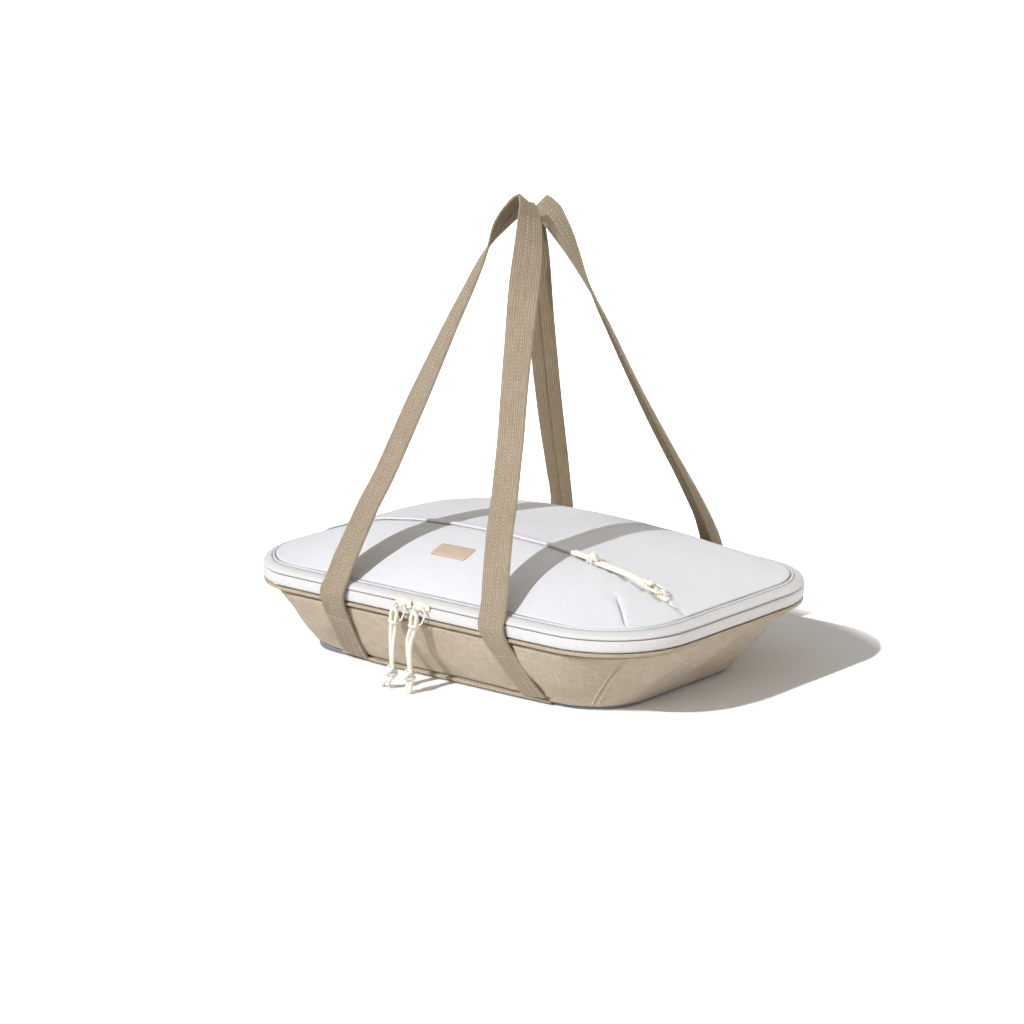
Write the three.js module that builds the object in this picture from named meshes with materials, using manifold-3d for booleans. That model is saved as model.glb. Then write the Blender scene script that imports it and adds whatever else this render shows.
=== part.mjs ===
// Casserole carrier: a soft insulated tray with a domed lid that zips on round
// three sides, a pocket zip across the lid and two webbing handles.
// Millimetres, +Z up, +X to the right along the long side, front face at -Y.
// The origin is the middle of the underside.
import * as THREE from 'three';
import { mergeVertices } from 'three/addons/utils/BufferGeometryUtils.js';
import Module from 'manifold-3d';

const wasm = await Module();
wasm.setup();

// Driving sizes of the body
const overallLength = 430;
const overallWidth = 284;
const overallHeight = 114;
const rimCornerRadius = 75;
const baseLength = 318;
const baseWidth = 196;
const baseCornerRadius = 47;
const zipHeight = 73;
const clearance = 0.3;
const cornerSteps = 7;

// Layers of the wall and of the lid
const canvasThickness = 1.2;
const foamThickness = 5;
const lidFoamThickness = 4;
const liningThickness = 0.6;
const basePanelThickness = 1.5;
const baseBoardThickness = 2.5;
const wallBulgeShare = 0.09;
const endBulgeShare = 0.02;
const cornerSwell = 11.5;
const wallLevels = 6;
const foamRise = 5;
const liningRise = 3;

// Rim: binding, zip tapes, coils, piping
const bindingWidth = 4;
const bindingThickness = 1.5;
const bindingInset = 1;
const tapeWidth = 9.4;
const tapeThickness = 1;
const tapeLean = 0.8;
const coilSize = 1.4;
const upperTapeRun = 8;
const upperTapeRise = 5.2;
const upperTapeSteps = 3;
const pipingRadius = 1.4;
const pipingSides = 6;
const zipEndAngle = 73;
const hingeEndAngle = 76;
const hingeSteps = 2;
const stopLength = 4;
const stopThickness = 1.2;
const stopHeight = 3;

// Lid dome and its pocket
const shoulderHeight = 80;
const lidLengthPowerShare = 2.3;
const lidWidthPowerShare = 3.2;
const lidEdgePowerShare = 6;
const lidRings = 8;
const lidRingPowerShare = 1.4;
const pocketLine = -49.5;
const pocketTapeWidth = 6;
const pocketTapeDrop = 0.4;
const pocketTapeThickness = 0.8;
const flapLift = 1.1;
const flapDepth = 7;
const pocketEndMargin = 16;
const pocketCoilWidth = 1.6;
const patchLength = 36;
const patchWidth = 15;
const patchThickness = 0.8;
const patchPlace = { x: -4, y: -89 };

// Base edge bands
const bandHeight = 6;
const bandThickness = 1.2;

// Webbing straps
const strapWidth = 25;
const strapThickness = 2;
const strapBaseX = 95;
const strapRimX = 83;
const sewnTop = 45;
const pivotHeight = 70;
const pivotReach = 149.5;
const riseAbovePivot = 15;
const crownHeight = 378;
const crownRadius = 14;
const legSteps = 12;
const crownSteps = 6;
const twistPowerShare = 3;

// Sliders and pulls
const sliderLength = 13;
const sliderHeight = 9.5;
const sliderThickness = 1.2;
const sliderMeetGap = 5;
const sliderTaperShare = 0.7;
const archWidth = 3.2;
const archThickness = 1.1;
const archSpan = 7.6;
const archReach = 5.8;
const ringAxisReach = 2.6;
const wireRadius = 0.8;
const wireSides = 8;
const ringWidth = 9.4;
const ringCornerShare = 1 / 3;
const ringLength = 13.4;
const ringLean = 7;
const cordWidth = 5.4;
const cordThickness = 2.7;
const cordSides = 8;
const knotRadius = 3.9;
const knotHalfLength = 4.2;
const knotSegments = 10;
const knotRows = 7;
const tailRadius = 1.3;
const tailSpread = 2.2;
const tailLength = 12;
const cordLength = 37;
const cordStep = 7.5;

// Pocket slider
const pocketSliderMargin = 39;
const pocketSliderLength = 12;
const pocketSliderWidth = 8;
const pocketPullRise = 0.9;
const pocketTailLength = 20;
const pocketCordLength = 50;

// Sizes worked out from the driving ones
const rimHalfX = overallLength / 2;
const rimHalfY = overallWidth / 2;
const baseHalfX = baseLength / 2;
const baseHalfY = baseWidth / 2;
const tapeTop = zipHeight - clearance;
const tapeBottom = tapeTop - tapeWidth;
const bindingTop = tapeBottom - clearance;
const bindingBottom = bindingTop - bindingWidth;
const wallTop = bindingBottom - clearance;
const wallFoot = basePanelThickness + clearance;
const foamBottom = wallFoot + baseBoardThickness + clearance;
const liningBottom = foamBottom + foamThickness + clearance;
const upperTapeBottom = zipHeight + clearance;
const pipingInset = upperTapeRun + clearance + pipingRadius;
const lidInset = pipingInset + pipingRadius + clearance;
const lidHalfX = rimHalfX - lidInset;
const lidHalfY = rimHalfY - lidInset;
const lidCornerRadius = rimCornerRadius - lidInset;
const lidRise = overallHeight - shoulderHeight;
const wallHeight = zipHeight - tapeWidth;
const foamTopHeight = tapeTop - foamRise;
const liningTopHeight = tapeTop - liningRise;
const pocketSliderX = rimHalfX - pocketSliderMargin;

const canvas = { colour: 0xbfae92, roughness: 0.95 };
const webbing = { colour: 0xb3a385, roughness: 0.9 };
const lidCanvas = { colour: 0xeceef1, roughness: 0.9 };
const tapeCloth = { colour: 0xf2f1ee, roughness: 0.85 };
const greyCloth = { colour: 0xcfcfce, roughness: 0.9 };
const nylon = { colour: 0xf4f3ef, roughness: 0.5 };
const paintedMetal = { colour: 0xf6f4ec, roughness: 0.35 };
const cordCloth = { colour: 0xf5eed6, roughness: 0.85 };
const foam = { colour: 0xe6e6e2, roughness: 1 };
const lining = { colour: 0xd9dadb, roughness: 0.5 };
const board = { colour: 0x55565a, roughness: 0.8 };
const patchCloth = { colour: 0xc9b08c, roughness: 0.8 };

const carrier = new THREE.Group();

// Adds one named sub-part with its own material to a group.
function addPiece(name, geometry, finish, parent = carrier) {
  const material = new THREE.MeshStandardMaterial({
    color: finish.colour,
    roughness: finish.roughness,
    metalness: 0,
  });
  const mesh = new THREE.Mesh(geometry, material);
  mesh.name = name;
  parent.add(mesh);
  return mesh;
}

// Turns a triangle list so that its faces point out of the body.
function facesOut(points, triangles) {
  let volume = 0;
  const cross = new THREE.Vector3();
  for (let i = 0; i < triangles.length; i += 3) {
    const [a, b, c] = [points[triangles[i]], points[triangles[i + 1]], points[triangles[i + 2]]];
    volume += a.dot(cross.crossVectors(b, c));
  }
  return volume < 0 ? triangles.slice().reverse() : triangles;
}

// Joins rings of points into one closed body. A closed run joins its last ring
// to its first; an open one has a flat cap on each end, cut as capOutline is.
function loft(rings, { closed = false, capOutline = null } = {}) {
  const count = rings[0].length;
  const points = rings.flat();
  const triangles = [];
  const spans = closed ? rings.length : rings.length - 1;
  for (let i = 0; i < spans; i += 1) {
    const lower = i * count;
    const upper = ((i + 1) % rings.length) * count;
    for (let j = 0; j < count; j += 1) {
      const next = (j + 1) % count;
      triangles.push(lower + j, lower + next, upper + next);
      triangles.push(lower + j, upper + next, upper + j);
    }
  }
  if (!closed) {
    addCap(triangles, rings[0], capOutline, 0, true);
    addCap(triangles, rings[rings.length - 1], capOutline, (rings.length - 1) * count, false);
  }
  return bodyFrom(points, facesOut(points, triangles));
}

function addCap(triangles, ring, capOutline, start, first) {
  const outline = capOutline ?? ring.map((p) => new THREE.Vector2(p.x, p.y));
  const turn = THREE.ShapeUtils.isClockWise(outline) ? -1 : 1;
  for (const [a, b, c] of THREE.ShapeUtils.triangulateShape(outline, [])) {
    const face = [start + a, start + b, start + c];
    const area = signedArea(outline[a], outline[b], outline[c]) * turn;
    const forward = area > 0;
    triangles.push(...(forward === first ? face.slice().reverse() : face));
  }
}

function signedArea(a, b, c) {
  return (b.x - a.x) * (c.y - a.y) - (c.x - a.x) * (b.y - a.y);
}

function bodyFrom(points, triangles) {
  const geometry = new THREE.BufferGeometry();
  const places = points.flatMap((p) => [p.x, p.y, p.z]);
  geometry.setAttribute('position', new THREE.Float32BufferAttribute(places, 3));
  geometry.setIndex(triangles);
  geometry.computeVertexNormals();
  return geometry;
}

// A solid for the boolean cuts, and its way back to a geometry.
function toSolid(geometry) {
  const bare = geometry.clone();
  bare.deleteAttribute('normal');
  bare.deleteAttribute('uv');
  const merged = mergeVertices(bare);
  return new wasm.Manifold(new wasm.Mesh({
    numProp: 3,
    vertProperties: new Float32Array(merged.attributes.position.array),
    triVerts: new Uint32Array(merged.index.array),
  }));
}

function fromSolid(solid) {
  const mesh = solid.getMesh();
  const geometry = new THREE.BufferGeometry();
  geometry.setAttribute('position', new THREE.Float32BufferAttribute(mesh.vertProperties, 3));
  geometry.setIndex(new THREE.Uint32BufferAttribute(mesh.triVerts, 1));
  geometry.computeVertexNormals();
  return geometry;
}

function boxBetween(low, high) {
  const box = new THREE.BoxGeometry(high.x - low.x, high.y - low.y, high.z - low.z);
  box.translate((low.x + high.x) / 2, (low.y + high.y) / 2, (low.z + high.z) / 2);
  return box;
}

// One corner arc of the rim outline as places with outward directions.
function cornerArc(signX, signY, from, to, steps = cornerSteps) {
  const places = [];
  for (let i = 0; i <= steps; i += 1) {
    const angle = THREE.MathUtils.degToRad(from + ((to - from) * i) / steps);
    const out = { x: Math.cos(angle), y: Math.sin(angle) };
    places.push({
      x: signX * (rimHalfX - rimCornerRadius) + rimCornerRadius * out.x,
      y: signY * (rimHalfY - rimCornerRadius) + rimCornerRadius * out.y,
      outX: out.x,
      outY: out.y,
    });
  }
  return places;
}

const wholeRim = [
  ...cornerArc(1, 1, 90, 0),
  ...cornerArc(1, -1, 0, -90),
  ...cornerArc(-1, -1, -90, -180),
  ...cornerArc(-1, 1, -180, -270),
];

const zipRim = [
  ...cornerArc(1, 1, zipEndAngle, 0),
  ...cornerArc(1, -1, 0, -90),
  ...cornerArc(-1, -1, -90, -180),
  ...cornerArc(-1, 1, -180, -180 - zipEndAngle),
];

const hingeRim = [
  ...cornerArc(-1, 1, 180 - hingeEndAngle, 90, hingeSteps),
  ...cornerArc(1, 1, 90, hingeEndAngle, hingeSteps),
];

// A band that follows a stretch of the rim. The section is a list of
// [distance outward, height] corners.
function bandAlong(places, section, closed = false) {
  const rings = places.map((place) => section.map(([out, height]) => new THREE.Vector3(
    place.x + place.outX * out,
    place.y + place.outY * out,
    height,
  )));
  const capOutline = section.map(([out, height]) => new THREE.Vector2(out, height));
  return loft(rings, { closed, capOutline });
}

// A level ring shaped as a rectangle with round corners.
function roundedRing(halfX, halfY, radius, height) {
  const ring = [];
  for (const [signX, signY, start] of [[1, 1, 0], [-1, 1, 90], [-1, -1, 180], [1, -1, 270]]) {
    for (let i = 0; i <= cornerSteps; i += 1) {
      const angle = THREE.MathUtils.degToRad(start + (90 * i) / cornerSteps);
      ring.push(new THREE.Vector3(
        signX * (halfX - radius) + radius * Math.cos(angle),
        signY * (halfY - radius) + radius * Math.sin(angle),
        height,
      ));
    }
  }
  return ring;
}

// Outline of the tray wall's outer face at a height, drawn in by an inset. The
// long sides bulge, the ends hardly do, and the corners are roundest half way up.
function wallOutline(height, inset = 0) {
  const rise = Math.min(Math.max(height / wallHeight, 0), 1);
  const swell = Math.sin(Math.PI * rise);
  const endReach = rise + endBulgeShare * swell;
  const sideReach = rise + wallBulgeShare * swell;
  const corner = THREE.MathUtils.lerp(baseCornerRadius, rimCornerRadius - bindingInset, rise);
  return {
    halfX: THREE.MathUtils.lerp(baseHalfX, rimHalfX - bindingInset, endReach) - inset,
    halfY: THREE.MathUtils.lerp(baseHalfY, rimHalfY - bindingInset, sideReach) - inset,
    radius: corner + cornerSwell * swell - inset,
  };
}

function wallRing(height, inset, level = height) {
  const outline = wallOutline(height, inset);
  return roundedRing(outline.halfX, outline.halfY, outline.radius, level);
}

// Heights shared by every layer of the wall, with a layer's own ends added.
function wallHeights(from, to) {
  const stations = Array.from({ length: wallLevels + 1 }, (_, i) => (wallHeight * i) / wallLevels);
  return [from, ...stations.filter((z) => z > from + clearance && z < to - clearance), to];
}

// Horizontal share of the wall's slope, steepest where it leaves the base.
const wallSlope = ((rimHalfY - baseHalfY) / wallHeight) * (1 + Math.PI * wallBulgeShare);
const slopeFactor = Math.hypot(1, wallSlope);

// Insets of the layers, measured level
const shellInner = canvasThickness * slopeFactor;
const foamOuter = shellInner + clearance * slopeFactor;
const foamInner = foamOuter + foamThickness;
const liningOuter = foamInner + clearance * slopeFactor;
const liningInner = liningOuter + liningThickness;

function trayShell() {
  const levels = wallHeights(wallFoot, wallTop);
  const outer = levels.map((z) => wallRing(z, 0));
  const inner = levels.reverse().map((z) => wallRing(z, shellInner));
  return loft([...outer, ...inner], { closed: true });
}

// An open tub: outer face up, rim across, inner face down to its floor.
function tub(bottom, floor, top, outerInset, innerInset) {
  const outer = wallHeights(bottom, top).map((z) => wallRing(z, outerInset));
  const inner = wallHeights(floor, top).reverse().map((z) => wallRing(z, innerInset));
  return loft([...outer, ...inner]);
}

function basePlate(inset, bottom, top) {
  return loft([wallRing(0, inset, bottom), wallRing(0, inset, top)]);
}

const bandSlopeOut = wallOutline(bandHeight).halfY - wallOutline(0).halfY;

// Band sewn along the foot of the long wall, between the outer strap edges.
function baseBand(side) {
  const foot = baseHalfY + clearance + bandSlopeOut + bandThickness / 2;
  const halfLength = strapBaseX + strapWidth / 2;
  return boxBetween(
    { x: -halfLength, y: side * foot - bandThickness / 2, z: clearance },
    { x: halfLength, y: side * foot + bandThickness / 2, z: bandHeight },
  );
}

// Body of the tray
addPiece('tray_shell', trayShell(), canvas);
addPiece('base_panel', basePlate(0, 0, basePanelThickness), canvas);
addPiece('base_board', basePlate(foamOuter, wallFoot, wallFoot + baseBoardThickness), board);
const trayFoam = tub(foamBottom, foamBottom + foamThickness, foamTopHeight, foamOuter, foamInner);
addPiece('tray_insulation', trayFoam, foam);
const liningFloor = liningBottom + liningThickness;
const trayLining = tub(liningBottom, liningFloor, liningTopHeight, liningOuter, liningInner);
addPiece('tray_lining', trayLining, lining);
addPiece('base_band_front', baseBand(-1), canvas);
addPiece('base_band_rear', baseBand(1), canvas);

// Rim of the tray
const bindingSection = [
  [-bindingInset, bindingBottom],
  [-bindingInset, bindingTop],
  [-bindingInset - bindingThickness, bindingTop],
  [-bindingInset - bindingThickness, bindingBottom],
];
addPiece('rim_binding', bandAlong(wholeRim, bindingSection, true), canvas);

const lowerTapeSection = [
  [-tapeLean, tapeBottom],
  [0, tapeTop],
  [-tapeThickness, tapeTop],
  [-tapeLean - tapeThickness, tapeBottom],
];
addPiece('lower_zip_tape', bandAlong(zipRim, lowerTapeSection), tapeCloth);
addPiece('hinge_gusset_lower', bandAlong(hingeRim, lowerTapeSection), lidCanvas);

// A row of zip coil against the inner face of a tape, on one side of the zip.
function coilSection(side) {
  const outer = -tapeThickness - clearance - tapeLean;
  const near = zipHeight + side * clearance;
  const far = near + side * coilSize;
  return [[outer, near], [outer, far], [outer - coilSize, far], [outer - coilSize, near]];
}
addPiece('lower_zip_coil', bandAlong(zipRim, coilSection(-1)), nylon);

// Rim of the lid: the tape curves in from the zip to the piping.
function upperTapeSection() {
  const corners = [];
  for (let i = 0; i <= upperTapeSteps; i += 1) {
    const angle = (Math.PI / 2) * (i / upperTapeSteps);
    corners.push([
      -upperTapeRun * (1 - Math.cos(angle)),
      upperTapeBottom + upperTapeRise * Math.sin(angle),
    ]);
  }
  for (let i = upperTapeSteps; i >= 0; i -= 1) {
    const angle = (Math.PI / 2) * (i / upperTapeSteps);
    corners.push([
      -upperTapeRun + (upperTapeRun - tapeThickness) * Math.cos(angle),
      upperTapeBottom + (upperTapeRise - tapeThickness) * Math.sin(angle),
    ]);
  }
  return corners;
}
addPiece('upper_zip_tape', bandAlong(zipRim, upperTapeSection()), tapeCloth);
addPiece('hinge_gusset_upper', bandAlong(hingeRim, upperTapeSection()), lidCanvas);
addPiece('upper_zip_coil', bandAlong(zipRim, coilSection(1)), nylon);

const pipingHeight = upperTapeBottom + upperTapeRise + pipingRadius - tapeThickness;
function pipingSection() {
  return Array.from({ length: pipingSides }, (_, i) => {
    const angle = (2 * Math.PI * i) / pipingSides;
    return [
      -pipingInset + pipingRadius * Math.cos(angle),
      pipingHeight + pipingRadius * Math.sin(angle),
    ];
  });
}
addPiece('lid_piping', bandAlong(wholeRim, pipingSection(), true), greyCloth);

// End stops: small cleats that close the ends of the coil, inside the tapes.
const stopOut = -tapeLean - tapeThickness - coilSize - clearance * 2;
for (const [name, side] of [['right_end_stop', 1], ['left_end_stop', -1]]) {
  const from = side > 0 ? zipEndAngle : 180 - zipEndAngle;
  const sweep = THREE.MathUtils.radToDeg(stopLength / rimCornerRadius) * side;
  const places = cornerArc(side, 1, from, from - sweep, 1);
  const section = [
    [stopOut, tapeTop - stopHeight],
    [stopOut, tapeTop],
    [stopOut - stopThickness, tapeTop],
    [stopOut - stopThickness, tapeTop - stopHeight],
  ];
  addPiece(name, bandAlong(places, section), nylon);
}

// Scale of the lid outline that passes through a place, 0 at the middle.
function lidScale(x, y) {
  const ax = Math.abs(x);
  const ay = Math.abs(y);
  const cx = lidHalfX - lidCornerRadius;
  const cy = lidHalfY - lidCornerRadius;
  const flat = Math.max(ax / lidHalfX, ay / lidHalfY);
  const inCorner = ax > cx * flat && ay > cy * flat;
  if (!inCorner) {
    return flat;
  }
  const a = cx * cx + cy * cy - lidCornerRadius * lidCornerRadius;
  const b = ax * cx + ay * cy;
  const c = ax * ax + ay * ay;
  return c / (b + Math.sqrt(b * b - a * c));
}

// Share of the dome's rise over a place, before its edge is made level.
function domeShare(x, y) {
  const alongShare = 1 - Math.min(Math.abs(x) / lidHalfX, 1) ** lidLengthPowerShare;
  const acrossShare = 1 - Math.min(Math.abs(y) / lidHalfY, 1) ** lidWidthPowerShare;
  return alongShare * acrossShare;
}

// Height of the lid's outer face over a place.
function lidHeight(x, y) {
  const scale = lidScale(x, y);
  if (scale === 0) {
    return shoulderHeight + lidRise;
  }
  const edgeShare = domeShare(x / scale, y / scale) * scale ** lidEdgePowerShare;
  return shoulderHeight + lidRise * (domeShare(x, y) - edgeShare);
}

// Dome between two distances under or over the lid's outer face.
function domeSolid(topOffset, bottomOffset, edgeInset = 0) {
  const scales = Array.from({ length: lidRings + 1 }, (_, i) => (
    1 - (i / (lidRings + 1)) ** lidRingPowerShare
  ));
  const corner = lidCornerRadius - edgeInset;
  const rim = roundedRing(lidHalfX - edgeInset, lidHalfY - edgeInset, corner, 0);
  const ringAt = (scale, offset) => rim.map((edge) => {
    const place = edge.clone().multiplyScalar(scale);
    return place.setZ(lidHeight(place.x, place.y) + offset);
  });
  const under = scales.slice().reverse().map((scale) => ringAt(scale, bottomOffset));
  const over = scales.map((scale) => ringAt(scale, topOffset));
  return toSolid(loft([...under, ...over]));
}

const farOut = overallLength;
function lidSlab(nearY, farY, halfX = farOut) {
  return toSolid(boxBetween({ x: -halfX, y: nearY, z: 0 }, { x: halfX, y: farY, z: farOut }));
}

// Lid panels on both sides of the pocket zip
const tapeNear = pocketLine - pocketTapeWidth / 2;
const tapeFar = pocketLine + pocketTapeWidth / 2;
const canvasDome = domeSolid(0, -canvasThickness);
const frontPanel = canvasDome.intersect(lidSlab(-farOut, tapeNear - clearance));
addPiece('lid_front_panel', fromSolid(frontPanel), lidCanvas);

const flapDome = domeSolid(flapLift, flapLift - canvasThickness);
const flapNear = pocketLine + pocketCoilWidth / 2 + clearance;
const flap = flapDome.intersect(lidSlab(flapNear, flapNear + flapDepth));
const rearPanel = canvasDome.intersect(lidSlab(tapeFar + clearance, farOut)).add(flap);
addPiece('lid_rear_panel', fromSolid(rearPanel), lidCanvas);

const pocketHalfLength = lidHalfX - pocketEndMargin;
const pocketTape = domeSolid(-pocketTapeDrop, -pocketTapeDrop - pocketTapeThickness)
  .intersect(lidSlab(tapeNear, tapeFar, pocketHalfLength));
addPiece('pocket_zip_tape', fromSolid(pocketTape), tapeCloth);

const coilBottom = clearance - pocketTapeDrop;
const pocketCoil = domeSolid(coilBottom + coilSize / 2, coilBottom)
  .intersect(lidSlab(pocketLine - pocketCoilWidth / 2, pocketLine + pocketCoilWidth / 2, pocketHalfLength));
addPiece('pocket_zip_coil', fromSolid(pocketCoil), nylon);

const patchOutline = boxBetween(
  { x: patchPlace.x - patchLength / 2, y: patchPlace.y - patchWidth / 2, z: 0 },
  { x: patchPlace.x + patchLength / 2, y: patchPlace.y + patchWidth / 2, z: farOut },
);
const patch = domeSolid(clearance + patchThickness, clearance).intersect(toSolid(patchOutline));
addPiece('lid_patch', fromSolid(patch), patchCloth);

const foamTop = -canvasThickness - clearance;
const lidFoam = domeSolid(foamTop, foamTop - lidFoamThickness, canvasThickness);
addPiece('lid_insulation', fromSolid(lidFoam), foam);
const liningTop = foamTop - lidFoamThickness - clearance;
const lidLining = domeSolid(liningTop, liningTop - liningThickness, canvasThickness);
addPiece('lid_lining', fromSolid(lidLining), lining);

// A flat strap through a list of places, each with its own width direction.
function strap(places, widthDirections) {
  const rings = places.map((place, i) => {
    const before = places[Math.max(i - 1, 0)];
    const after = places[Math.min(i + 1, places.length - 1)];
    const along = after.clone().sub(before).normalize();
    const across = widthDirections[i].clone();
    across.addScaledVector(along, -across.dot(along)).normalize();
    const face = along.clone().cross(across);
    return [[-1, -1], [1, -1], [1, 1], [-1, 1]].map(([u, v]) => place.clone()
      .addScaledVector(across, (u * strapWidth) / 2)
      .addScaledVector(face, (v * strapThickness) / 2));
  });
  const capOutline = [[-1, -1], [1, -1], [1, 1], [-1, 1]].map(([u, v]) => new THREE.Vector2(u, v));
  return loft(rings, { capOutline });
}

// Lower strap end: sewn to the wall up to sewnTop, free from there to the pivot.
const strapStandoff = (strapThickness / 2 + clearance) * slopeFactor;
const strapFoot = bandHeight + strapThickness + clearance;
function strapEnd(side, signX) {
  const places = wallHeights(strapFoot, sewnTop).map((z) => {
    const reach = wallOutline(z).halfY + strapStandoff;
    const x = THREE.MathUtils.lerp(strapBaseX, strapRimX, z / pivotHeight);
    return new THREE.Vector3(signX * x, side * reach, z);
  });
  for (const z of [pivotHeight - strapThickness * 2, pivotHeight - clearance]) {
    places.push(new THREE.Vector3(signX * strapRimX, side * pivotReach, z));
  }
  return strap(places, places.map(() => new THREE.Vector3(1, 0, 0)));
}
for (const [row, side] of [['front', -1], ['rear', 1]]) {
  for (const [column, signX] of [['left', -1], ['right', 1]]) {
    addPiece(`strap_end_${row}_${column}`, strapEnd(side, signX), webbing);
  }
}

// Handle: two legs that lean in over the lid and turn on edge at the crown, the
// outer face of each leg turning away from the middle of the loop.
const leanStart = new THREE.Vector3(strapRimX, pivotReach, pivotHeight + riseAbovePivot);
const crownCentre = new THREE.Vector3(0, strapWidth / 2 + clearance, crownHeight - strapThickness / 2);
function handle(side) {
  const lean = new THREE.Vector3(0, crownCentre.y - leanStart.y, crownCentre.z - leanStart.z);
  const slope = lean.clone().normalize();
  const legTop = crownCentre.clone().addScaledVector(slope, -crownRadius);
  const half = [new THREE.Vector3(strapRimX, pivotReach, pivotHeight + clearance)];
  for (let i = 0; i <= legSteps; i += 1) {
    const place = leanStart.clone().lerp(legTop, i / legSteps);
    place.x = THREE.MathUtils.lerp(strapRimX, crownRadius, i / legSteps);
    half.push(place);
  }
  for (let i = 1; i <= crownSteps; i += 1) {
    const angle = (Math.PI / 2) * (i / crownSteps);
    const place = legTop.clone().addScaledVector(slope, crownRadius * Math.sin(angle));
    place.x = crownRadius * Math.cos(angle);
    half.push(place);
  }
  const length = crownHeight - pivotHeight;
  const edgeOn = new THREE.Vector3(0, -slope.z, slope.y);
  const directions = half.map((place) => {
    const turn = (Math.PI / 2) * ((place.z - pivotHeight) / length) ** twistPowerShare;
    return new THREE.Vector3(Math.cos(turn), edgeOn.y * Math.sin(turn), edgeOn.z * Math.sin(turn));
  });
  const rightSide = half.map((place) => place.clone().setY(side * place.y));
  const rightWidths = directions.map((d) => d.clone().setY(side * d.y));
  const leftSide = rightSide.slice(0, -1).reverse().map((place) => place.clone().setX(-place.x));
  const leftWidths = rightWidths.slice(0, -1).reverse().map((d) => new THREE.Vector3(-d.x, d.y, d.z));
  return strap([...rightSide, ...leftSide], [...rightWidths, ...leftWidths]);
}
addPiece('front_handle_strap', handle(-1), webbing);
addPiece('rear_handle_strap', handle(1), webbing);

// Slider: a tapered plate with an arch that the pull's ring hangs in. Its plate
// lies on y = 0, its outer side faces -y, it runs along x, nose toward -x. The
// arch stands up the plate, or along it after a turn of a quarter.
const archAxes = new THREE.Matrix4().makeBasis(
  new THREE.Vector3(0, 0, 1),
  new THREE.Vector3(0, -1, 0),
  new THREE.Vector3(1, 0, 0),
);
function slider(length, height, archTurn) {
  const halfNose = (height / 2) * sliderTaperShare;
  const outline = new THREE.Shape([
    new THREE.Vector2(-length / 2, -halfNose),
    new THREE.Vector2(length / 2, -height / 2),
    new THREE.Vector2(length / 2, height / 2),
    new THREE.Vector2(-length / 2, halfNose),
  ]);
  const plate = new THREE.ExtrudeGeometry(outline, { depth: sliderThickness, bevelEnabled: false });
  plate.rotateX(Math.PI / 2);
  const half = archSpan / 2;
  const inner = half - archThickness;
  const under = archReach - archThickness;
  const bevel = archThickness;
  const profile = new THREE.Shape([
    new THREE.Vector2(-half, -clearance),
    new THREE.Vector2(-half, archReach - bevel),
    new THREE.Vector2(-half + bevel, archReach),
    new THREE.Vector2(half - bevel, archReach),
    new THREE.Vector2(half, archReach - bevel),
    new THREE.Vector2(half, -clearance),
    new THREE.Vector2(inner, -clearance),
    new THREE.Vector2(inner, under),
    new THREE.Vector2(-inner, under),
    new THREE.Vector2(-inner, -clearance),
  ]);
  const arch = new THREE.ExtrudeGeometry(profile, { depth: archWidth, bevelEnabled: false });
  arch.applyMatrix4(archAxes);
  arch.translate(-archWidth / 2, -sliderThickness, 0);
  arch.rotateY(archTurn);
  return fromSolid(toSolid(plate).add(toSolid(arch)));
}

// A closed wire ring: a rectangle with round corners below the axis of its top
// wire, in the xz plane, leaning sideways about that axis.
function wireRing(lean) {
  const corner = ringWidth * ringCornerShare;
  const [halfWidth, halfLength] = [ringWidth / 2, ringLength / 2];
  const centres = roundedRing(halfWidth, halfLength, corner, 0);
  const inside = roundedRing(halfWidth - wireRadius, halfLength - wireRadius, corner - wireRadius, 0);
  const isKept = (_, i) => i % (cornerSteps + 1) % 2 === 0 || i % (cornerSteps + 1) === cornerSteps;
  const within = inside.filter(isKept);
  const rings = centres.filter(isKept).map((place, i) => {
    const out = place.clone().sub(within[i]).normalize();
    return Array.from({ length: wireSides }, (_, k) => {
      const angle = (2 * Math.PI * k) / wireSides;
      return new THREE.Vector3(
        place.x + out.x * wireRadius * Math.cos(angle),
        wireRadius * Math.sin(angle),
        place.y + out.y * wireRadius * Math.cos(angle) - halfLength,
      );
    });
  });
  const geometry = loft(rings, { closed: true });
  geometry.rotateY(lean);
  return geometry;
}

// A cord of oval section along a list of places, its wide side along across.
function cordTube(places, across, width, thickness, sides = cordSides) {
  const rings = places.map((place, i) => {
    const before = places[Math.max(i - 1, 0)];
    const after = places[Math.min(i + 1, places.length - 1)];
    const along = after.clone().sub(before).normalize();
    const over = along.clone().cross(across).normalize();
    return Array.from({ length: sides }, (_, k) => {
      const angle = (2 * Math.PI * k) / sides;
      return place.clone()
        .addScaledVector(across, (width / 2) * Math.cos(angle))
        .addScaledVector(over, (thickness / 2) * Math.sin(angle));
    });
  });
  const capOutline = Array.from({ length: sides }, (_, k) => {
    const angle = (2 * Math.PI * k) / sides;
    return new THREE.Vector2(Math.cos(angle), Math.sin(angle));
  });
  return loft(rings, { capOutline });
}

// Overhand knot with its two cut tails, hanging down from z = 0.
function knot(tail) {
  const ball = new THREE.SphereGeometry(knotRadius, knotSegments, knotRows);
  ball.scale(1, 1, knotHalfLength / knotRadius);
  ball.translate(0, 0, -knotHalfLength);
  let solid = toSolid(ball);
  for (const side of [-1, 1]) {
    const places = [
      new THREE.Vector3(side * (tailRadius + clearance), 0, -knotHalfLength),
      new THREE.Vector3(side * (tailRadius + clearance), 0, -knotHalfLength * 2),
      new THREE.Vector3(side * (tailRadius + tailSpread), 0, -knotHalfLength * 2 - tail),
    ];
    const acrossTail = new THREE.Vector3(1, 0, 0);
    solid = solid.add(toSolid(cordTube(places, acrossTail, tailRadius * 2, tailRadius * 2)));
  }
  return fromSolid(solid);
}

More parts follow.
